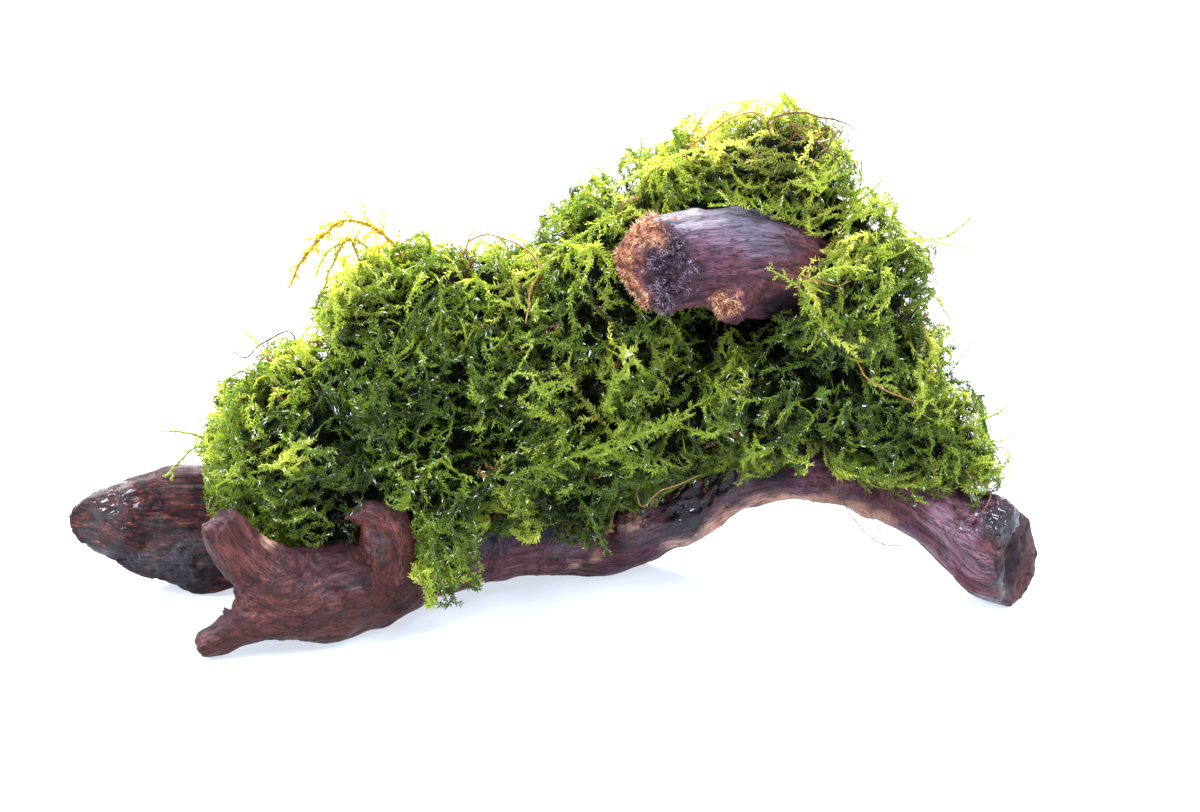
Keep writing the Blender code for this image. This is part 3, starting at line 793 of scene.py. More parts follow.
# %% Directions and steps of a growing shoot
SHOOT_STEP = 0.9
WOOD_ROOM = 0.7
FLOOR_ROOM = 0.9
FLOWS = [(0.75, 15.0, 60), (0.45, 6.0, 64)]  # strength, how far the moss keeps one direction, seed
LIE_PULL = 0.7
TUFT_SIZE = 7.5
TUFT_RELIEF = 2.4
TUFT_SINK = 0.35  # how much deeper the hollows are than the tufts are high, as a share of the relief
STEER, STEER_DOWN, STEER_UP = 0.16, -0.45, 0.3  # for each millimetre off its height, and the most of it
FLOW_PULL = 0.11
TURN_SIZE = 4.5
WEIGHT = 0.02
STRAY_ROOM = 2.2  # a shoot that gets this far off the mat is drawn back
STRAY_PULL = 0.3
DOWN = np.array([0.0, 0.0, -1.0])
LIE = [  # how the moss lies around a place: (x, y, z), reach, direction
    ((35, 0, 95), 30, (-1.0, -0.25, -0.05)),
    ((70, -5, 60), 28, (0.35, -0.7, -0.5)),
    ((85, 0, 32), 25, (0.8, -0.4, -0.4)),
    ((-55, 0, 40), 30, (-0.7, -0.5, 0.1)),
    ((-20, -15, 45), 30, (-0.3, -0.7, -0.3)),
    ((10, -15, 35), 30, (-0.8, -0.5, -0.2)),
    ((-40, 5, 72), 30, (-0.5, -0.1, 0.8)),
    ((54, -8, 82), 12, (-1.5, -1.0, -0.5)),
    ((50, -8, 60), 12, (-1.0, -0.8, 0.8)),
]


def flow_at(points):
    """The direction in which the moss around each point lies."""
    flow = sum(strength * drift(points, size, seed) for strength, size, seed in FLOWS)
    for centre, reach, direction in LIE:
        near = np.exp(-(((points - np.array(centre)) ** 2).sum(axis=1)) / reach**2)
        flow = flow + near[:, None] * np.array(direction) * LIE_PULL
    return flow


def grow(start, ahead, plane, length, height, loose, seed):
    """The shoots' points, their planes, their depths in the mat, and how many points each one has."""
    count = np.maximum(np.round(length / SHOOT_STEP).astype(int), 2) + 1
    at = start.copy()
    ahead = unit(ahead)
    trail, planes, depths = [], [], []
    for _ in range(count.max()):
        plane = unit(plane - ahead * (plane * ahead).sum(axis=1, keepdims=True))
        distance, outward = moss_field.at(at)
        trail.append(at.copy())
        planes.append(plane.copy())
        depths.append(distance)
        flow = flow_at(at)
        flow = flow - outward * (flow * outward).sum(axis=1, keepdims=True)
        turn = drift(at + 20.0 * seed[:, None], TURN_SIZE, 70) * loose[:, None]
        relief = TUFT_RELIEF * smooth_noise(at / TUFT_SIZE, 75) - TUFT_SINK * TUFT_RELIEF
        wanted = np.minimum(height + relief, height * 0.5 + 0.6)
        steer = np.clip((wanted - distance) * STEER, STEER_DOWN, STEER_UP)
        ahead = unit(ahead + outward * steer[:, None] + flow * FLOW_PULL + turn + DOWN * WEIGHT)
        too_far = np.maximum(distance - STRAY_ROOM, 0.0)
        at = at + ahead * SHOOT_STEP - outward * too_far[:, None] * STRAY_PULL
        wood_distance, off_wood = wood_field.at(at)
        at = at + off_wood * np.clip(WOOD_ROOM - wood_distance, 0.0, SHOOT_STEP)[:, None]
        at[:, 2] = np.maximum(at[:, 2], FLOOR_ROOM)
    return np.stack(trail, axis=1), np.stack(planes, axis=1), np.stack(depths, axis=1), count


# %% [markdown]
# Roots are spread evenly over the mat, no nearer to each other than a set distance, but not where the
# wood covers it. Each shoot starts some millimetres under the surface and climbs out, so its foot is
# hidden as it is in the real mat. Its tone says how fresh it is: new shoots are light and yellowish,
# old ones dark, and a few are dead and brown. Tone also carries painted light: moss that sits high is made
# lighter, and so is moss where the mat faces up and where it faces left.

# %% Plant the shoots
ROOT_SPACING = 2.28
CANDIDATES = 16000
OFF_WOOD = 0.9  # a root stands no nearer to the wood than this
OFF_GROUND = 2.0
ROOT_DEPTH = (2.0, 5.5)
ROOT_BACK = (2.0, 6.0)  # how far back, against the flow, a shoot starts
CLIMB = (0.1, 1.0)  # how strongly a shoot heads outwards at first
UPRIGHT_CLIMB = (1.0, 2.5)  # how much more strongly an upright one does
SPREAD = 0.45  # how far a shoot's first direction and its plane stray
LOOSENESS = (0.14, 0.42)  # how strongly a shoot turns at random
MAIN_LENGTH = (10.0, 25.0)
SIDE_LENGTH = (2.6, 8.0)
SIDE_SPACING = 2.7
SIDE_ANGLE = math.radians(50)
SIDE_SPREADS = (0.35, 0.3, 0.6)  # of the side shoots' planes, angles and heights
LEAFAGE = (0.85, 1.2)  # size of a shoot's leaves
SIDE_LEAFAGE = 0.86
FOOT_AGE, SIDE_FOOT_AGE = 0.45, 0.7
DARK_DEPTH, LIGHT_RISE = 7.0, 6.0  # painted shade: below this depth leaves are in full painted shade, and over this rise the shade fades
DEAD_SHARE = 0.03
DEAD_TONE = 0.075
DEAD_LENGTH = 0.4  # dead shoots have lost the rest
HEIGHTS = [-4.8, -3.2, -1.8, -0.7, 0.4, 1.4]  # heights that shoots steer for, over the mat's surface
HEIGHT_SHARES = [0.13, 0.19, 0.25, 0.23, 0.13, 0.07]
UPRIGHT_SHARE = 0.12
ROUND_SHARE = 0.45
LOOSE_SPOTS = [  # where few shoots grow: x, y, z, reach
    (47, 2, 111, 14), (30, 6, 103, 11), (-31, 5, 78, 8), (-48, 2, 68, 7), (-14, 8, 76, 7),
]
CLEAR_SPOTS = [(16, 2, 20, 6), (22, 2, 21.5, 5.5), (29, 4, 23, 6)]  # wood that no moss grows over
TONE_SHIFTS = [  # where the moss's tone is shifted: x, y, z, reach, change of tone
    (-31, -8, 63, 13, 0.2), (-46, -8, 52, 9, 0.15), (-36, 0, 70, 9, 0.1), (-15, -22, 48, 9, 0.25),
    (14, -22, 44, 15, 0.16), (24, -16, 55, 10, 0.16), (-7, -14, 24, 11, 0.2), (-25, -26, 20, 12, 0.25),
    (82, -4, 40, 10, 0.1), (-56, -14, 43, 10, -0.18), (35, -18, 45, 9, -0.12), (65, -12, 50, 15, -0.2),
    (-6, -18, 56, 9, -0.12), (58, -8, 62, 10, -0.1), (43, -2, 105, 14, 0.14), (39, -8, 99, 10, 0.14),
    (-41, -8, 68, 9, 0.12), (10, -22, 63, 7, -0.15), (40, -20, 40, 9, -0.15),
]
LOOSE_SHARE = 0.75  # how many roots are missing in the middle of a loose spot
MIDDLE_TONE = 0.47
LARGE_PATCHES, SMALL_PATCHES = (0.20, 20.0), (0.10, 6.0)  # difference of tone, and size
TOP_PAINTED_LIGHT, TOP_FROM, TOP_RISE = 0.10, 30.0, 70.0  # painted light: moss is made lighter from this height on, over this rise
UP_PAINTED_LIGHT, LEFT_PAINTED_LIGHT = 0.12, 0.08  # painted light: moss is made lighter where the mat faces up, and where it faces left
TONE_SPREAD = 0.12
GREEN = (0.18, 0.9)  # the tones of living moss


def roots_on(mesh, count, draw):
    """Points spread over a mesh by area, with their normals."""
    mesh.calc_loop_triangles()
    corners = np.array([t.vertices[:] for t in mesh.loop_triangles])
    a, b, c = (points_of(mesh)[corners[:, i]] for i in range(3))
    across = np.cross(b - a, c - a)
    area = np.linalg.norm(across, axis=1)
    chosen = draw.choice(len(area), size=count, p=area / area.sum())
    u, v = draw.random((2, count, 1))
    flip = u + v > 1
    u, v = np.where(flip, 1 - u, u), np.where(flip, 1 - v, v)
    return a[chosen] + (b - a)[chosen] * u + (c - a)[chosen] * v, unit(across[chosen])


def well_spaced(points, spacing):
    """Rows of the points that keep this distance from every one kept before."""
    cells = {}
    kept = []
    for i, point in enumerate(points):
        home = tuple((point // spacing).astype(int))
        around = (
            j for step in np.ndindex(3, 3, 3)
            for j in cells.get(tuple(h + s - 1 for h, s in zip(home, step)), ())
        )
        if all(((points[j] - point) ** 2).sum() > spacing**2 for j in around):
            cells.setdefault(home, []).append(i)
            kept.append(i)
    return np.array(kept)


def open_roots(mesh, draw):
    """Evenly spaced roots that aren't covered by wood or by the ground."""
    points, normals = roots_on(mesh, CANDIDATES, draw)
    distance, _ = wood_field.at(points + normals * 2.0)
    high = points[:, 2] + normals[:, 2] > OFF_GROUND
    lit = (distance > OFF_WOOD) & high & (near_spots(points, CLEAR_SPOTS) == 0)
    points, normals = points[lit], normals[lit]
    kept = well_spaced(points, ROOT_SPACING)
    points, normals = points[kept], normals[kept]
    missing = LOOSE_SHARE * np.clip(1.8 * near_spots(points, LOOSE_SPOTS), 0.0, 1.0)
    grown = draw.random(len(points)) > missing
    return points[grown], normals[grown]


def tone_at(points, normals, draw):
    """The moss's tone around each point, from about 0.2, old and dark, to 0.9, new and yellow, with painted
    light where it sits high, faces up and faces left.
    """
    region = MIDDLE_TONE + LARGE_PATCHES[0] * rough_noise(points / LARGE_PATCHES[1], 80, 2)
    region = region + SMALL_PATCHES[0] * smooth_noise(points / SMALL_PATCHES[1], 84)
    # Painted light: tone is raised the higher the moss sits, and where the mat faces up and where it faces
    # left.
    high = TOP_PAINTED_LIGHT * np.clip((points[:, 2] - TOP_FROM) / TOP_RISE, 0, 1)
    for x, y, z, reach, change in TONE_SHIFTS:
        region = region + change * np.clip(1.6 * near_spots(points, [(x, y, z, reach)]), 0, 1)
    painted_facing_light = UP_PAINTED_LIGHT * np.clip(normals[:, 2], 0, 1) + LEFT_PAINTED_LIGHT * np.clip(-normals[:, 0], 0, 1)
    tone = np.clip(region + high + painted_facing_light + draw.normal(0, TONE_SPREAD, len(points)), *GREEN)
    return np.where(draw.random(len(points)) < DEAD_SHARE, draw.uniform(0.0, DEAD_TONE, len(points)), tone)


def age_and_shade_of(depths, sizes, first):
    """From dark at a shoot's foot to bright at its tip, darkened as painted shade the deeper it lies in the
    mat.
    """
    share = np.clip(np.arange(depths.shape[1]) / np.maximum(sizes[:, None] - 1, 1), 0, 1)
    grown = first + (1.0 - first) * share
    light = np.clip((depths + DARK_DEPTH) / LIGHT_RISE, 0.08, 1.1)
    return np.clip(grown * light, 0.0, 1.0)


def tapered(share):
    """How long side shoots are at this share of the way up their shoot, longest near its foot."""
    return 1.15 - 0.75 * share


def plant(draw):
    """Every shoot and side shoot of the mat, as rows of paths and the numbers they carry."""
    points, normals = open_roots(mat.data, draw)
    count = len(points)
    flow = unit(flow_at(points) + draw.normal(0, SPREAD, (count, 3)))
    upright = (draw.random((count, 1)) < UPRIGHT_SHARE) * draw.uniform(*UPRIGHT_CLIMB, (count, 1))
    ahead = unit(normals * (draw.uniform(*CLIMB, (count, 1)) + upright) + flow)
    start = points - normals * draw.uniform(*ROOT_DEPTH, (count, 1))
    start = start - flow * draw.uniform(*ROOT_BACK, (count, 1))
    plane = unit(normals + draw.normal(0, SPREAD, (count, 3)))
    length = draw.uniform(*MAIN_LENGTH, count)
    height = draw.choice(HEIGHTS, size=count, p=HEIGHT_SHARES)
    loose = draw.uniform(*LOOSENESS, count)
    seed = draw.uniform(0, 40, count)
    tone = tone_at(points, normals, draw)
    length = np.where(tone < DEAD_TONE, length * DEAD_LENGTH, length)
    paths, planes, depths, sizes = grow(start, ahead, plane, length, height, loose, seed)
    mains = {
        "paths": paths, "planes": planes, "sizes": sizes, "tone": tone, "main": np.ones(count),
        "age": age_and_shade_of(depths, sizes, FOOT_AGE), "round": (draw.random(count) < ROUND_SHARE).astype(float),
        "leafage": draw.uniform(*LEAFAGE, count),
    }
    rows, steps, turns = [], [], []
    for i in range(count):
        side = draw.choice([-1, 1])
        gap = SIDE_SPACING / SHOOT_STEP * draw.uniform(0.8, 1.3)
        for j in np.arange(draw.integers(4, 8), sizes[i] - 2, gap):
            rows.append(i)
            steps.append(int(j))
            turns.append(side)
            side = -side
    rows, steps, turns = np.array(rows), np.array(steps), np.array(turns)[:, None]
    share = steps / sizes[rows]
    start = paths[rows, steps]
    forward = unit(paths[rows, steps + 1] - start)
    plane_spread, angle_spread, height_spread = SIDE_SPREADS
    plane = unit(planes[rows, steps] + draw.normal(0, plane_spread, (len(rows), 3)))
    angle = SIDE_ANGLE + draw.normal(0, angle_spread, (len(rows), 1))
    ahead = forward * np.cos(angle) + np.cross(plane, forward) * turns * np.sin(angle)
    length = draw.uniform(*SIDE_LENGTH, len(rows)) * tapered(share)
    height = height[rows] + draw.normal(0, height_spread, len(rows))
    paths, planes, depths, sizes = grow(start, ahead, plane, length, height, loose[rows], seed[rows] + 3.1)
    sides = {
        "paths": paths, "planes": planes, "sizes": sizes, "main": np.zeros(len(rows)),
        "tone": np.clip(tone[rows] + draw.normal(0.02, 0.03, len(rows)), 0, 1),
        "age": age_and_shade_of(depths, sizes, SIDE_FOOT_AGE), "round": mains["round"][rows],
        "parent": rows, "leafage": mains["leafage"][rows] * SIDE_LEAFAGE,
    }
    return mains, sides, points


mains, sides, root_points = plant(np.random.default_rng(11))
print("shoots", len(mains["tone"]), "side shoots", len(sides["tone"]))
print("metres of stem", round(float(mains["sizes"].sum() + sides["sizes"].sum()) * SHOOT_STEP * MM, 1))


# %% [markdown]
# ## One leaf, and its colour
#
# A java moss leaf is one cell thick, a millimetre and a bit long, pointed and folded along its middle.
# Two triangles that share the fold are enough at this size, and some 400,000 leaves can't afford more.
# The base reaches a little behind the stem, as a leaf's base clasps it, so neighbours on both sides
# cross there and the shoot holds together.
#
# Every leaf carries its colour as a place on one small colour chart: across is its tone, from dead
# brown through deep green to yellow, and up is its age and painted shade, from the dark foot of a shoot
# and the dark depths of the mat to a bright tip in the light.
# The chart is the piece's UV map, so the colour is a plain function of that map.

# %% A single leaf, one unit long
CHART = "OFBake"
LEAF_CORNERS = [(0.0, -0.16, 0.0), (-0.5, 0.34, 0.16), (0.5, 0.34, 0.16), (0.0, 1.0, -0.04)]
LEAF_FACES = [(0, 2, 3), (0, 3, 1)]
LEAF_CHART = [(0.5, 0.0), (0.0, 0.4), (1.0, 0.4), (0.5, 1.0)]


def leaf_template():
    """One leaf as an object, which is copied along every shoot."""
    mesh = bpy.data.meshes.new("leaf")
    mesh.from_pydata(LEAF_CORNERS, [], LEAF_FACES)
    chart = mesh.attributes.new("leaf_chart", "FLOAT_VECTOR", "CORNER")
    for corner, loop in zip(chart.data, mesh.loops):
        corner.vector = (*LEAF_CHART[loop.vertex_index], 0.0)
    return new_object("leaf template", mesh)


# %% Wet leaf material
LEAF_IOR = 1.45
LEAF_ROUGHNESS = 0.17
TRANSLUCENT_SHARE = 0.56
THROUGH_TINT = (1.25, 1.2, 0.72, 1.0)  # light that came through a leaf is brighter and more yellow
TONES = [  # across the chart: dead brown, tan, then green from the deepest to yellow, and gold
    (0.0, "#3c2415"), (0.045, "#a2743f"), (0.085, "#857640"), (0.13, "#20290e"), (0.30, "#384717"),
    (0.46, "#5c7222"), (0.62, "#839630"), (0.78, "#aebb46"), (0.92, "#d4d76a"), (1.0, "#b8a030"),
]
# Age and painted shade: dark at a shoot's foot and deep in the mat, white at a tip in the light.
AGE_AND_SHADE = [(0.0, "#1c2014"), (0.3, "#63675a"), (0.62, "#cfd1c6"), (0.85, "#ffffff")]


def wet_leaves():
    """Moss leaves one cell thick under a film of water: light comes through them, and they glint."""
    made, tree, output = new_material("wet java moss")
    chart = result(tree, "ShaderNodeUVMap", {"uv_map": CHART})
    split = add_node(tree, "ShaderNodeSeparateXYZ", Vector=chart)
    tone = ramp(tree, split.outputs["X"], *TONES)
    age = ramp(tree, split.outputs["Y"], *AGE_AND_SHADE)
    colour = mixed(tree, 1.0, tone, age, "MULTIPLY")
    through = mixed(tree, 1.0, colour, THROUGH_TINT, "MULTIPLY")
    leaf = add_node(
        tree, "ShaderNodeBsdfPrincipled", Base_Color=colour, Roughness=LEAF_ROUGHNESS, IOR=LEAF_IOR,
        Specular_IOR_Level=1.0,
    )
    glow = add_node(tree, "ShaderNodeBsdfTranslucent", Color=through)
    shaders = {"i1": leaf.outputs[0], "i2": glow.outputs[0]}
    both = add_node(tree, "ShaderNodeMixShader", Fac=TRANSLUCENT_SHARE, **shaders)
    tree.links.new(both.outputs[0], output.inputs[0])
    return made


moss_finish = wet_leaves()


# %% [markdown]
# ## Leaves along the shoots, by Geometry Nodes
#
# The paths become curves, the curves are cut at the leaf spacing, and a leaf is set at each cut. Leaves
# of a flat shoot stand left and right in turn; on a round shoot each leaf is turned by the golden angle
# from the one before. The leaf's own Y axis is turned along its direction and its Z axis along the
# shoot's plane. Main shoots also get a thin three-sided stem. All sizes are inputs of the tree.

# %% The tree that dresses paths with leaves
SIZES = {  # the tree's number inputs, in metres and radians
    "Leaf Spacing": 0.27 * MM, "Leaf Length": 1.12 * MM, "Leaf Width": 0.4 * MM, "Leaf Angle": 0.84,
    "Leaf Jitter": 0.5, "Stem Step": 2.6 * MM, "Stem Radius": 0.11 * MM,
}
LENGTHS, WIDTHS = (0.72, 1.22), (0.8, 1.2)  # how much single leaves differ
GOLDEN_ANGLE = 2.39996
CHART_PATCH = 0.018  # how much of the chart one leaf covers
FLECK = 0.035  # how far one leaf's tone differs from its shoot's
PATCH_REPEAT = 2.0 * MM  # the length of stem that covers one patch of the chart


def shoot_dresser():
    """A tree that sets leaves along paths, and stems on the main ones."""
    tree, given = new_tree(
        "leaves along shoots", *[(name, "Float") for name in SIZES],
        ("Seed", "Int"), ("Leaf", "Object"), ("Material", "Material"),
    )
    field = partial(field_of, tree)
    number = partial(math_of, tree)
    vector = partial(vector_of, tree)

    def scaled(value, amount):
        """The vector made this many times as long."""
        return vector("SCALE", value, scale=amount)

    def random(low, high, more):
        """A random number for each leaf, with a seed of its own."""
        seed = number("ADD", given["Seed"], more)
        return add_node(tree, "FunctionNodeRandomValue", i2=low, i3=high, Seed=seed).outputs[1]

    def shaken(value, more):
        """An angle that differs a little from leaf to leaf."""
        return number("ADD", value, number("MULTIPLY", random(-1.0, 1.0, more), given["Leaf Jitter"]))

    def resampled(curve, step):
        """The curve with points as far apart as this input says."""
        return result(tree, "GeometryNodeResampleCurve", {"mode": "LENGTH"}, Curve=curve, Length=given[step])

    curves = result(tree, "GeometryNodeMeshToCurve", Mesh=given["Geometry"])
    cuts = resampled(curves, "Leaf Spacing")

    tangent = result(tree, "GeometryNodeInputTangent")
    index = result(tree, "GeometryNodeInputIndex")
    parity = number("MULTIPLY", number("MODULO", index, 2.0), math.pi)
    whorl = number("MULTIPLY", index, GOLDEN_ANGLE)
    roundness = field("round")
    turn = result(tree, "ShaderNodeMix", i0=roundness, i2=parity, i3=whorl)
    roll = shaken(turn, 1)
    plane = field("plane", "FLOAT_VECTOR")
    across = vector("NORMALIZE", vector("CROSS_PRODUCT", tangent, plane))
    outward = result(tree, "ShaderNodeVectorRotate", Vector=across, Axis=tangent, Angle=roll)
    lean = shaken(given["Leaf Angle"], 2)
    leaf_way = vector("ADD", scaled(tangent, number("COSINE", lean)), scaled(outward, number("SINE", lean)))
    up = vector("CROSS_PRODUCT", leaf_way, vector("CROSS_PRODUCT", tangent, leaf_way))
    settings = {"data_type": "VECTOR"}
    upward = add_node(tree, "ShaderNodeMix", settings, i0=roundness, i4=plane, i5=scaled(up, -1.0)).outputs[1]
    rotation = result(
        tree, "FunctionNodeAxesToRotation", {"primary_axis": "Y", "secondary_axis": "Z"},
        i0=leaf_way, i1=upward,
    )
    size = number("MULTIPLY", field("size"), random(*LENGTHS, 3))
    length = number("MULTIPLY", given["Leaf Length"], size)
    width = number("MULTIPLY", number("MULTIPLY", given["Leaf Width"], size), random(*WIDTHS, 4))
    scale = result(tree, "ShaderNodeCombineXYZ", X=width, Y=length, Z=length)
    fleck = random(-FLECK, FLECK, 5)
    marked = result(tree, "GeometryNodeStoreNamedAttribute", Geometry=cuts, Name="fleck", Value=fleck)
    leaf = add_node(tree, "GeometryNodeObjectInfo", Object=given["Leaf"]).outputs["Geometry"]
    leaves = result(
        tree, "GeometryNodeInstanceOnPoints", Points=marked, Instance=leaf, Rotation=rotation, Scale=scale
    )
    leaves = result(tree, "GeometryNodeRealizeInstances", Geometry=leaves)

    main = result(
        tree, "GeometryNodeSeparateGeometry", {"domain": "CURVE"}, Geometry=curves,
        Selection=number("GREATER_THAN", field("main"), 0.5),
    )
    main = resampled(main, "Stem Step")
    ring = result(tree, "GeometryNodeCurvePrimitiveCircle", Resolution=3, Radius=1.0)
    stem_size = number("MULTIPLY", given["Stem Radius"], field("size"))
    stems = result(tree, "GeometryNodeCurveToMesh", Curve=main, Profile_Curve=ring, Scale=stem_size)

    def charted(geometry, patch):
        """Stores the place on the colour chart, from tone and age, with a small patch for each face."""
        tone = number("ADD", field("tone"), field("fleck"))
        corner = result(tree, "ShaderNodeCombineXYZ", X=tone, Y=field("age"))
        held = vector("MAXIMUM", vector("ADD", corner, scaled(patch, CHART_PATCH)), (0.001, 0.001, 0.0))
        held = vector("MINIMUM", held, (0.999, 0.999, 0.0))
        return result(
            tree, "GeometryNodeStoreNamedAttribute", {"data_type": "FLOAT2", "domain": "CORNER"},
            Geometry=geometry, Name=CHART, Value=held,
        )

    leaves = charted(leaves, field("leaf_chart", "FLOAT_VECTOR"))
    place = result(tree, "GeometryNodeInputPosition")
    stems = charted(stems, vector("FRACTION", scaled(place, 1.0 / PATCH_REPEAT)))
    both = add_node(tree, "GeometryNodeJoinGeometry", Geometry=leaves)
    tree.links.new(stems, both.inputs[0])
    real = result(tree, "GeometryNodeRealizeInstances", Geometry=both.outputs[0])
    return ended(tree, real, given["Material"])


# %% [markdown]
# ## The eight clumps
#
# Each clump takes the shoots whose roots are nearest to its solid, with their side shoots. Deep inside
# the mat lies a core, which stands for the old, packed shoots there; its near-black colour is painted shade,
# for they get no light. It is made from points well under the surface: each becomes a small ball in a volume,
# and the volume becomes a mesh.
# A thin part of the mat has no point that deep, so light comes through it, as it does at the real rim.

# %% Paths as a mesh of edges
FOOT_SIZE = 0.75  # leaves at a shoot's foot, as a share of full size
TIP_SIZE = 0.6


def path_mesh(name, groups):
    """One mesh of open paths, from groups of rows, with the numbers that the leaves need."""
    points, planes, edges, numbers = [], [], [], []
    start = 0
    for group in groups:
        for i in group["rows"]:
            count = int(group["sizes"][i])
            share = np.linspace(0.0, 1.0, count)
            size = np.interp(share, (0.0, 0.25, 0.75, 1.0), (FOOT_SIZE, 1.0, 1.0, TIP_SIZE))
            each = np.ones(count)
            points.append(group["paths"][i, :count])
            planes.append(group["planes"][i, :count])
            steps = np.arange(start, start + count - 1)
            edges.append(np.stack([steps, steps + 1], axis=1))
            numbers.append(np.stack([
                each * group["tone"][i], group["age"][i, :count], size * group["leafage"][i],
                each * group["round"][i], each * group["main"][i],
            ], axis=1))
            start += count
    mesh = bpy.data.meshes.new(name)
    mesh.from_pydata((np.concatenate(points) * MM).tolist(), np.concatenate(edges).tolist(), [])
    store(mesh, "plane", np.concatenate(planes))
    values = np.concatenate(numbers)
    for i, key in enumerate(("tone", "age", "size", "round", "main")):
        store(mesh, key, values[:, i])
    return mesh


# %% The core of a clump, in painted shade
CORE_DEPTH = 7.0
CORE_OFF_WOOD = 1.2
CORE_UNDER_LOOSE = 7.0  # how much deeper the core lies under a loose spot
CORE_BALL = (1.8, 2.9)
CORE_VOXEL = 0.9
CORE_LEAST = 20  # a clump with no more deep points than this has no core


def moss_in_painted_shade():
    """Packed old moss inside the mat: matt and lumpy, and painted near black as shade, for hardly any light
    reaches it.
    """
    made, tree, output = new_material("old packed moss")
    place = add_node(tree, "ShaderNodeTexCoord").outputs["Object"]
    speckle = noise_of(tree, place, 1 / (1.4 * MM), 3.0, 0.5)
    # Near black: painted shade deep in the mat.
    colour = ramp(tree, speckle, (0.36, "#030502"), (0.55, "#0b1104"), (0.72, "#1c280b"))
    bump = add_node(tree, "ShaderNodeBump", Strength=1.0, Distance=0.8 * MM, Height=speckle)
    return skinned(
        made, tree, output, Base_Color=colour, Roughness=1.0, Specular_IOR_Level=0.08,
        Normal=bump.outputs[0],
    )


def core_tree():
    """Points with a radius become a volume, and the volume a mesh."""
    tree, given = new_tree("core from points", ("Voxel", "Float"), ("Material", "Material"))
    radius = field_of(tree, "ball")
    points = result(tree, "GeometryNodeMeshToPoints", Mesh=given["Geometry"], Radius=radius)
    volume = result(
        tree, "GeometryNodePointsToVolume", {"resolution_mode": "VOXEL_SIZE"},
        Points=points, Voxel_Size=given["Voxel"], Radius=radius,
    )
    mesh = result(
        tree, "GeometryNodeVolumeToMesh", {"resolution_mode": "VOXEL_SIZE"},
        Volume=volume, Voxel_Size=given["Voxel"], Threshold=0.1,
    )
    return ended(tree, mesh, given["Material"])


def deep_points(draw):
    """Points well inside the mat and clear of the wood, slightly out of their grid."""
    shape = moss_field.values.shape[:3]
    grid = np.stack(np.meshgrid(*[np.arange(n) for n in shape], indexing="ij"), axis=-1).reshape(-1, 3)
    points = moss_field.low + grid * FIELD_STEP
    depth = -bulk_field.values[..., 0].reshape(-1)
    in_moss = moss_field.values[..., 0].reshape(-1) < -0.5
    points = points[in_moss & (depth > CORE_DEPTH + CORE_UNDER_LOOSE * near_spots(points, LOOSE_SPOTS))]
    points = points + draw.uniform(-0.5, 0.5, points.shape) * FIELD_STEP
    wood_distance, _ = wood_field.at(points)
    return points[wood_distance > CORE_OFF_WOOD]


def clump_of(points, trees):
    """Which clump each point belongs to: the one whose surface is nearest."""
    return np.array([
        int(np.argmin([surface.find_nearest(point)[3] for surface in trees]))
        for point in (points * MM).tolist()
    ])


def core_of(name, points, draw):
    """The core around a clump's deep points, painted near black as shade."""
    mesh = bpy.data.meshes.new(name)
    mesh.from_pydata((points * MM).tolist(), [], [])
    store(mesh, "ball", draw.uniform(*CORE_BALL, len(points)) * MM)
    core = new_object(name, mesh)
    return by_nodes(core, core_maker, {"Voxel": CORE_VOXEL * MM, "Material": painted_shade_core})


def dressed(name, groups, sizes, seed):
    """A new object of leafy shoots that grow along these paths."""
    piece = new_object(name, path_mesh(name, groups))
    return by_nodes(piece, dresser, {**sizes, "Seed": seed, "Leaf": template, "Material": moss_finish})


# %% Dress every clump
dresser = shoot_dresser()
template = leaf_template()
core_maker = core_tree()
painted_shade_core = moss_in_painted_shade()
draw = np.random.default_rng(5)
clump_trees = [tree_of(frame["nodes"][node].data) for node in MOSS_NODES]
root_clump = clump_of(root_points, clump_trees)
inner = deep_points(draw)
inner_clump = clump_of(inner, clump_trees)
triangles_in_all = 0
for i, node in enumerate(MOSS_NODES):
    main_rows = np.flatnonzero(root_clump == i)
    side_rows = np.flatnonzero(root_clump[sides["parent"]] == i)
    groups = [{**mains, "rows": main_rows}, {**sides, "rows": side_rows}]
    clump = dressed(node + "_shoots", groups, SIZES, 100 + i)
    own = inner[inner_clump == i]
    if len(own) > CORE_LEAST:
        joined(clump, core_of(node + " core", own, draw))
    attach(clump, "root")
    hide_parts(node)
    triangles = triangle_count(clump.data)
    triangles_in_all += triangles
    print(clump.name, len(main_rows), "shoots", len(own), "deep points", triangles, "triangles")
print("moss triangles in all", triangles_in_all)
bpy.data.objects.remove(mat)


# %% [markdown]
# ## Strays
#
# Some strands leave the mat: a yellow one arches over the left side, a brown stem hangs down in the
# middle, and thin rootlets stand on the crown. Each follows a route of a few points, given in
# millimetres, that starts inside the mat. A leafy strand gets short side shoots that droop a little, and
# a bare one is only a thin stem. The tree of nodes that dressed the mat dresses them too.

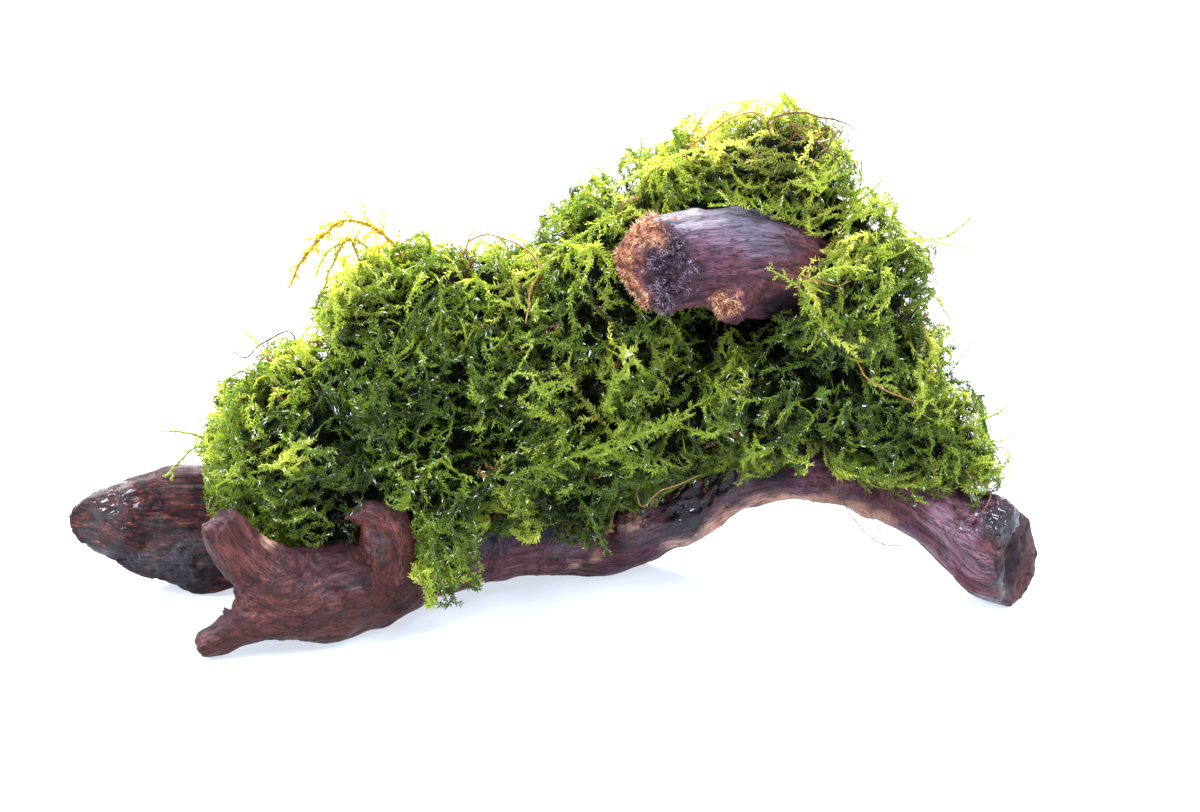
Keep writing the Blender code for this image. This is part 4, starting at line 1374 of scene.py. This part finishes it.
# %% Routes of the strays
GOLD, LIME, FRESH, DEEP, TAN, BROWN = 1.0, 0.8, 0.66, 0.42, 0.045, 0.005
LEAFY_STRAYS = [  # tone, size of its leaves, longest side shoot, points
    (GOLD, 1.6, 5.5, [(-32, -2, 80), (-36, -3, 84), (-41, -4, 86), (-45, -5, 84), (-50, -6, 79),
                      (-53, -8, 73)]),
    (LIME, 1.3, 4.0, [(-35, -1, 77), (-40, -2, 81), (-45, -4, 79), (-48, -5, 74)]),
    (GOLD, 1.2, 3.0, [(-41, -3, 82), (-44, -5, 77), (-47, -6, 70)]),
    (LIME, 0.8, 1.5, [(-60, -2, 57), (-62, -3, 60), (-64, -4, 63)]),
    (FRESH, 1.0, 3.5, [(-66, -8, 37), (-73, -10, 41), (-80, -12, 43)]),
    (FRESH, 1.0, 3.0, [(-66, -8, 38), (-74, -10, 38), (-80, -12, 33)]),
    (GOLD, 0.7, 1.5, [(28, 4, 101), (32, 3, 107), (39, 2, 109)]),
    (FRESH, 0.8, 2.5, [(50, 4, 101), (49, 3, 106), (46, 2, 111)]),
    (FRESH, 0.9, 3.0, [(69, -2, 85), (75, -4, 82), (80, -5, 83), (84, -6, 88)]),
    (LIME, 0.8, 2.5, [(70, -2, 81), (77, -4, 81), (86, -6, 80)]),
    (FRESH, 0.8, 1.5, [(61, 0, 88), (65, -1, 92), (67, -2, 95)]),
    (FRESH, 0.8, 1.5, [(61, 1, 90), (62, 1, 95), (62, 0, 98)]),
    (FRESH, 0.8, 1.5, [(77, -2, 69), (80, -3, 66), (82, -3, 63)]),
    (FRESH, 0.9, 2.0, [(85, -4, 41), (91, -5, 44), (94, -5, 46)]),
    (FRESH, 0.8, 2.0, [(86, -5, 38), (92, -6, 38), (95, -6, 41)]),
    (LIME, 0.8, 1.5, [(85, -6, 31), (90, -7, 34), (93, -7, 32)]),
    (FRESH, 1.1, 4.5, [(-10, -21, 32), (2, -19, 39), (14, -16, 43), (23, -14, 46), (32, -13, 51)]),
    (FRESH, 1.05, 3.5, [(9, -18, 40), (20, -16, 45), (29, -14, 48)]),
    (FRESH, 1.4, 1.0, [(11, -16, 50), (13, -18, 57), (16, -18, 61)]),
    (FRESH, 0.9, 1.0, [(-10, -21, 55), (-8, -23, 60), (-4, -24, 61), (-2, -24, 57), (5, -23, 59)]),
    (FRESH, 0.9, 3.0, [(54, -16, 68), (48, -20, 78), (42, -23, 83)]),
    (DEEP, 1.0, 2.5, [(-24, -30, 28), (-23, -32, 22), (-22, -32, 16)]),
    (DEEP, 1.0, 2.0, [(8, -18, 26), (10, -19, 21), (12, -18, 18)]),
    (LIME, 0.8, 1.5, [(-26, 0, 77), (-25, 0, 81), (-23, 0, 84)]),
    (GOLD, 0.8, 1.0, [(-18, 0, 77), (-17, 0, 81), (-15, 0, 83)]),
    (LIME, 0.8, 1.5, [(2, 4, 81), (-1, 4, 84), (-3, 4, 86)]),
    (FRESH, 0.8, 1.5, [(12, 5, 90), (10, 5, 93), (8, 5, 95)]),
    (FRESH, 0.8, 1.5, [(18, 5, 94), (18, 5, 98), (17, 5, 101)]),
    (LIME, 0.9, 2.5, [(50, -14, 76), (57, -16, 80), (63, -15, 79)]),
    (FRESH, 0.9, 3.0, [(12, -8, 88), (3, -12, 84), (-5, -14, 76)]),
    (LIME, 0.9, 2.5, [(30, 0, 99), (20, -6, 98), (12, -8, 94)]),
]
BARE_STRAYS = [  # tone, thickness against a common stem, points
    (BROWN, 1.6, [(-54, 0, 60), (-60, -1, 58), (-63, -2, 55), (-66, -3, 57)]),
    (BROWN, 1.0, [(-62, -6, 52), (-69, -7, 52), (-72, -8, 55)]),
    (TAN, 2.2, [(-17, 2, 79), (-11, 0, 81), (-3, -10, 79), (-4, -15, 75), (-5, -19, 70)]),
    (TAN, 1.0, [(43, 3, 102), (48, 2, 107), (55, 1, 106), (58, 1, 103), (57, 2, 98)]),
    (TAN, 1.0, [(45, 3, 98), (50, 2, 103), (53, 1, 103), (56, 2, 97)]),
    (TAN, 1.0, [(48, 3, 104), (52, 2, 102), (57, 1, 103)]),
    (BROWN, 1.0, [(50, 3, 95), (54, 2, 100), (52, 2, 105)]),
    (BROWN, 1.8, [(43, -3, 106), (47, -3, 108), (50, -3, 108), (53, -3, 107), (58, -3, 106), (60, -3, 104)]),
    (BROWN, 1.6, [(48, -4, 106), (49, -4, 104), (52, -5, 103), (55, -5, 103), (57, -4, 105), (58, -4, 106)]),
    (BROWN, 1.8, [(53, -5, 103), (54, -6, 101), (56, -7, 100), (57, -7, 98)]),
    (BROWN, 1.6, [(55, -4, 105), (55, -6, 102), (53, -7, 101), (51, -8, 99)]),
    (BROWN, 1.0, [(80, 2, 48), (85, 0, 55), (88, -1, 61)]),
    (TAN, 1.4, [(18, -16, 28), (23, -18, 33), (30, -18, 36)]),
    (BROWN, 1.0, [(60, -7, 26), (64, -10, 20), (69, -11, 17), (77, -12, 17)]),
    (BROWN, 1.0, [(65, -8, 25), (68, -10, 20), (69, -10, 16)]),
    (TAN, 1.6, [(27, 2, 98), (35, 1, 105), (40, 0, 107), (45, 0, 103)]),
    (TAN, 1.3, [(50, -15, 78), (52, -17, 78), (56, -18, 77), (59, -17, 78)]),
    (TAN, 1.6, [(62, -16, 58), (67, -19, 55), (73, -18, 52)]),
    (BROWN, 1.4, [(86, -10, 32), (90, -12, 28), (87, -14, 25), (83, -13, 26)]),
]
STRAY_ROOT = 3.0  # how deep in the mat a stray starts
STRAY_WIGGLE = 0.5
STRAY_GAP = 1.5  # between one side shoot and the next
STRAY_DROOP = 0.10
STRAY_SIDE_LEAFAGE = 0.85
STRAY_AGE = 0.95
FACING = np.array([0.1, -0.75, 0.65])  # most strays lie flat against the mat's front


def rooted(points):
    """A smooth, slightly wavy path through the points, begun from inside the mat."""
    first = np.array(points[0], float)
    for _ in range(8):
        distance, outward = moss_field.at(first[None])
        first = first - outward[0] * np.clip(distance[0] + STRAY_ROOT, 0.0, 1.0)
    path = smooth_route([first, *points], SHOOT_STEP)
    return path + STRAY_WIGGLE * drift(path, 5.0, 90) + 0.4 * STRAY_WIGGLE * drift(path, 2.2, 94)


def side_path(start, ahead, length):
    """A short shoot that leaves a stray at an angle and droops."""
    rows = [start]
    for _ in range(max(2, round(length / SHOOT_STEP))):
        ahead = unit(ahead + DOWN * STRAY_DROOP)
        rows.append(rows[-1] + ahead * SHOOT_STEP)
    return np.array(rows)


def stray_group(paths, planes, tones, leafage, main):
    """Paths of different lengths as rows of equal length, with the numbers that the leaves need."""
    longest = max(len(path) for path in paths)
    sizes = np.array([len(path) for path in paths])
    rows = [np.pad(path, ((0, longest - len(path)), (0, 0)), mode="edge") for path in paths]
    sheets = [np.repeat(plane[None], longest, axis=0) for plane in planes]
    count = len(paths)
    return {
        "paths": np.stack(rows), "planes": np.stack(sheets), "sizes": sizes, "rows": np.arange(count),
        "tone": np.array(tones), "age": np.full((count, longest), STRAY_AGE), "leafage": np.array(leafage),
        "round": np.ones(count), "main": np.full(count, float(main)),
    }


def leafy_groups(draw):
    """The paths of the leafy strays, and those of their side shoots."""
    mains, forks = ([], [], [], []), ([], [], [], [])
    for tone, leafage, reach, points in LEAFY_STRAYS:
        path = rooted(points)
        plane = unit(FACING + draw.normal(0, 0.35, 3))
        for column, value in zip(mains, (path, plane, tone, leafage)):
            column.append(value)
        side = draw.choice([-1.0, 1.0])
        gap = max(1, round(STRAY_GAP / SHOOT_STEP))
        for j in range(4, len(path) - 2, gap):
            forward = unit(path[j + 1] - path[j])
            across = unit(np.cross(plane, forward)) * side
            ahead = forward * math.cos(SIDE_ANGLE) + across * math.sin(SIDE_ANGLE)
            length = reach * draw.uniform(0.55, 1.0) * tapered(j / len(path))
            fork = side_path(path[j], ahead, length)
            for column, value in zip(forks, (fork, plane, tone, leafage * STRAY_SIDE_LEAFAGE)):
                column.append(value)
            side = -side
    return [stray_group(*mains, 1), stray_group(*forks, 0)]


def bare_groups():
    """The paths of the strays that are bare stems."""
    paths = [rooted(points) for _, _, points in BARE_STRAYS]
    tones = [tone for tone, _, _ in BARE_STRAYS]
    thickness = [size for _, size, _ in BARE_STRAYS]
    return [stray_group(paths, [unit(FACING)] * len(paths), tones, thickness, 1)]


# %% Dress the strays
BARE_SIZES = {
    **SIZES, "Leaf Spacing": 1.0, "Leaf Length": 0.5 * MM, "Leaf Width": 0.2 * MM,
    "Stem Step": 0.8 * MM, "Stem Radius": 0.13 * MM,
}
STRAY_SIZES = {
    **SIZES, "Leaf Spacing": 0.2 * MM, "Leaf Length": 0.95 * MM, "Leaf Width": 0.45 * MM,
    "Stem Step": 1.2 * MM, "Stem Radius": 0.2 * MM,
}
strays = dressed("stray_shoots", leafy_groups(np.random.default_rng(21)), STRAY_SIZES, 200)
joined(strays, dressed("bare strands", bare_groups(), BARE_SIZES, 201))
stray_triangles = triangle_count(strays.data)
print("strays", len(LEAFY_STRAYS), "leafy", len(BARE_STRAYS), "bare", stray_triangles, "triangles")
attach(strays, "root")


# %% [markdown]
# ## Floor, light and camera
#
# The object lay on a white surface in strong light from behind, which is why the rim of the moss glows
# and why the floor shows hardly any shadow. A white world, slightly cool, gives the bright surroundings
# that the water mirrors. A large lamp behind and above gives the glow. Two bluish soft boxes and three
# small spark lamps in front give the glints. The floor shines a little of its own, as an overexposed one
# does. The camera looks from the front, 24 degrees above the horizon, through a lens of 85 mm.

# %% Floor
FLOOR_HALF = 4.0
FLOOR_GLOW = 0.7


def pale_floor():
    """A pale surface with a faint glow of its own."""
    return skinned(
        *new_material("pale floor"), Base_Color=linear("#8c8f95"), Roughness=0.8,
        Emission_Color=linear("#eef4ff"), Emission_Strength=FLOOR_GLOW,
    )


floor_mesh = bpy.data.meshes.new("floor")
floor_corners = [(x * FLOOR_HALF, y * FLOOR_HALF, 0.0) for x, y in ((-1, -1), (1, -1), (1, 1), (-1, 1))]
floor_mesh.from_pydata(floor_corners, [], [(0, 1, 2, 3)])
floor_mesh.materials.append(pale_floor())
floor = new_object("floor", floor_mesh)

# %% Light
AIM = (0.0, 0.0, 0.05)
WORLD_STRENGTH = 1.3
world = bpy.data.worlds.new("white surroundings")
world.use_nodes = True
surroundings = world.node_tree.nodes["Background"].inputs
surroundings["Color"].default_value = linear("#e9f1ff")
surroundings["Strength"].default_value = WORLD_STRENGTH
bpy.context.scene.world = world
bpy.context.scene.view_settings.view_transform = "Standard"


def lamp(name, place, size, power, colour="#ffffff"):
    """A square area lamp at a place in metres, turned towards the object."""
    data = bpy.data.lights.new(name, "AREA")
    data.size = size
    data.energy = power
    data.color = linear(colour)[:3]
    made = new_object(name, data)
    made.location = place
    made.rotation_euler = (Vector(AIM) - Vector(place)).to_track_quat("-Z", "Y").to_euler()
    return made


lamp("back light", (-0.15, 0.95, 0.80), 0.55, 84.0)
lamp("top light", (0.15, 0.15, 1.1), 0.25, 9.0, "#f4f7ff")
lamp("left soft box", (-0.70, -0.50, 0.75), 0.32, 22.0, "#e4eeff")
lamp("right soft box", (0.60, -0.35, 0.95), 0.32, 18.0, "#e4eeff")
lamp("left spark lamp", (-0.95, -0.25, 0.35), 0.16, 4.5, "#e4eeff")
lamp("middle spark lamp", (0.0, -0.75, 0.95), 0.16, 4.5, "#e4eeff")
lamp("right spark lamp", (0.85, -0.70, 0.40), 0.16, 4.5, "#e4eeff")

# %% Camera
CAMERA_PLACE = (9.59 * MM, -537.63 * MM, 282.70 * MM)
CAMERA_AIM = (9.59 * MM, -1.06 * MM, 43.8 * MM)
camera_data = bpy.data.cameras.new("camera")
camera_data.lens = 85.0
camera_data.sensor_width = 36.0
camera_data.clip_start = 0.01
camera = new_object("camera", camera_data)
camera.location = CAMERA_PLACE
camera.rotation_euler = (Vector(CAMERA_AIM) - Vector(CAMERA_PLACE)).to_track_quat("-Z", "Y").to_euler()
bpy.context.scene.camera = camera

# %% Finish
bpy.data.objects.remove(template)
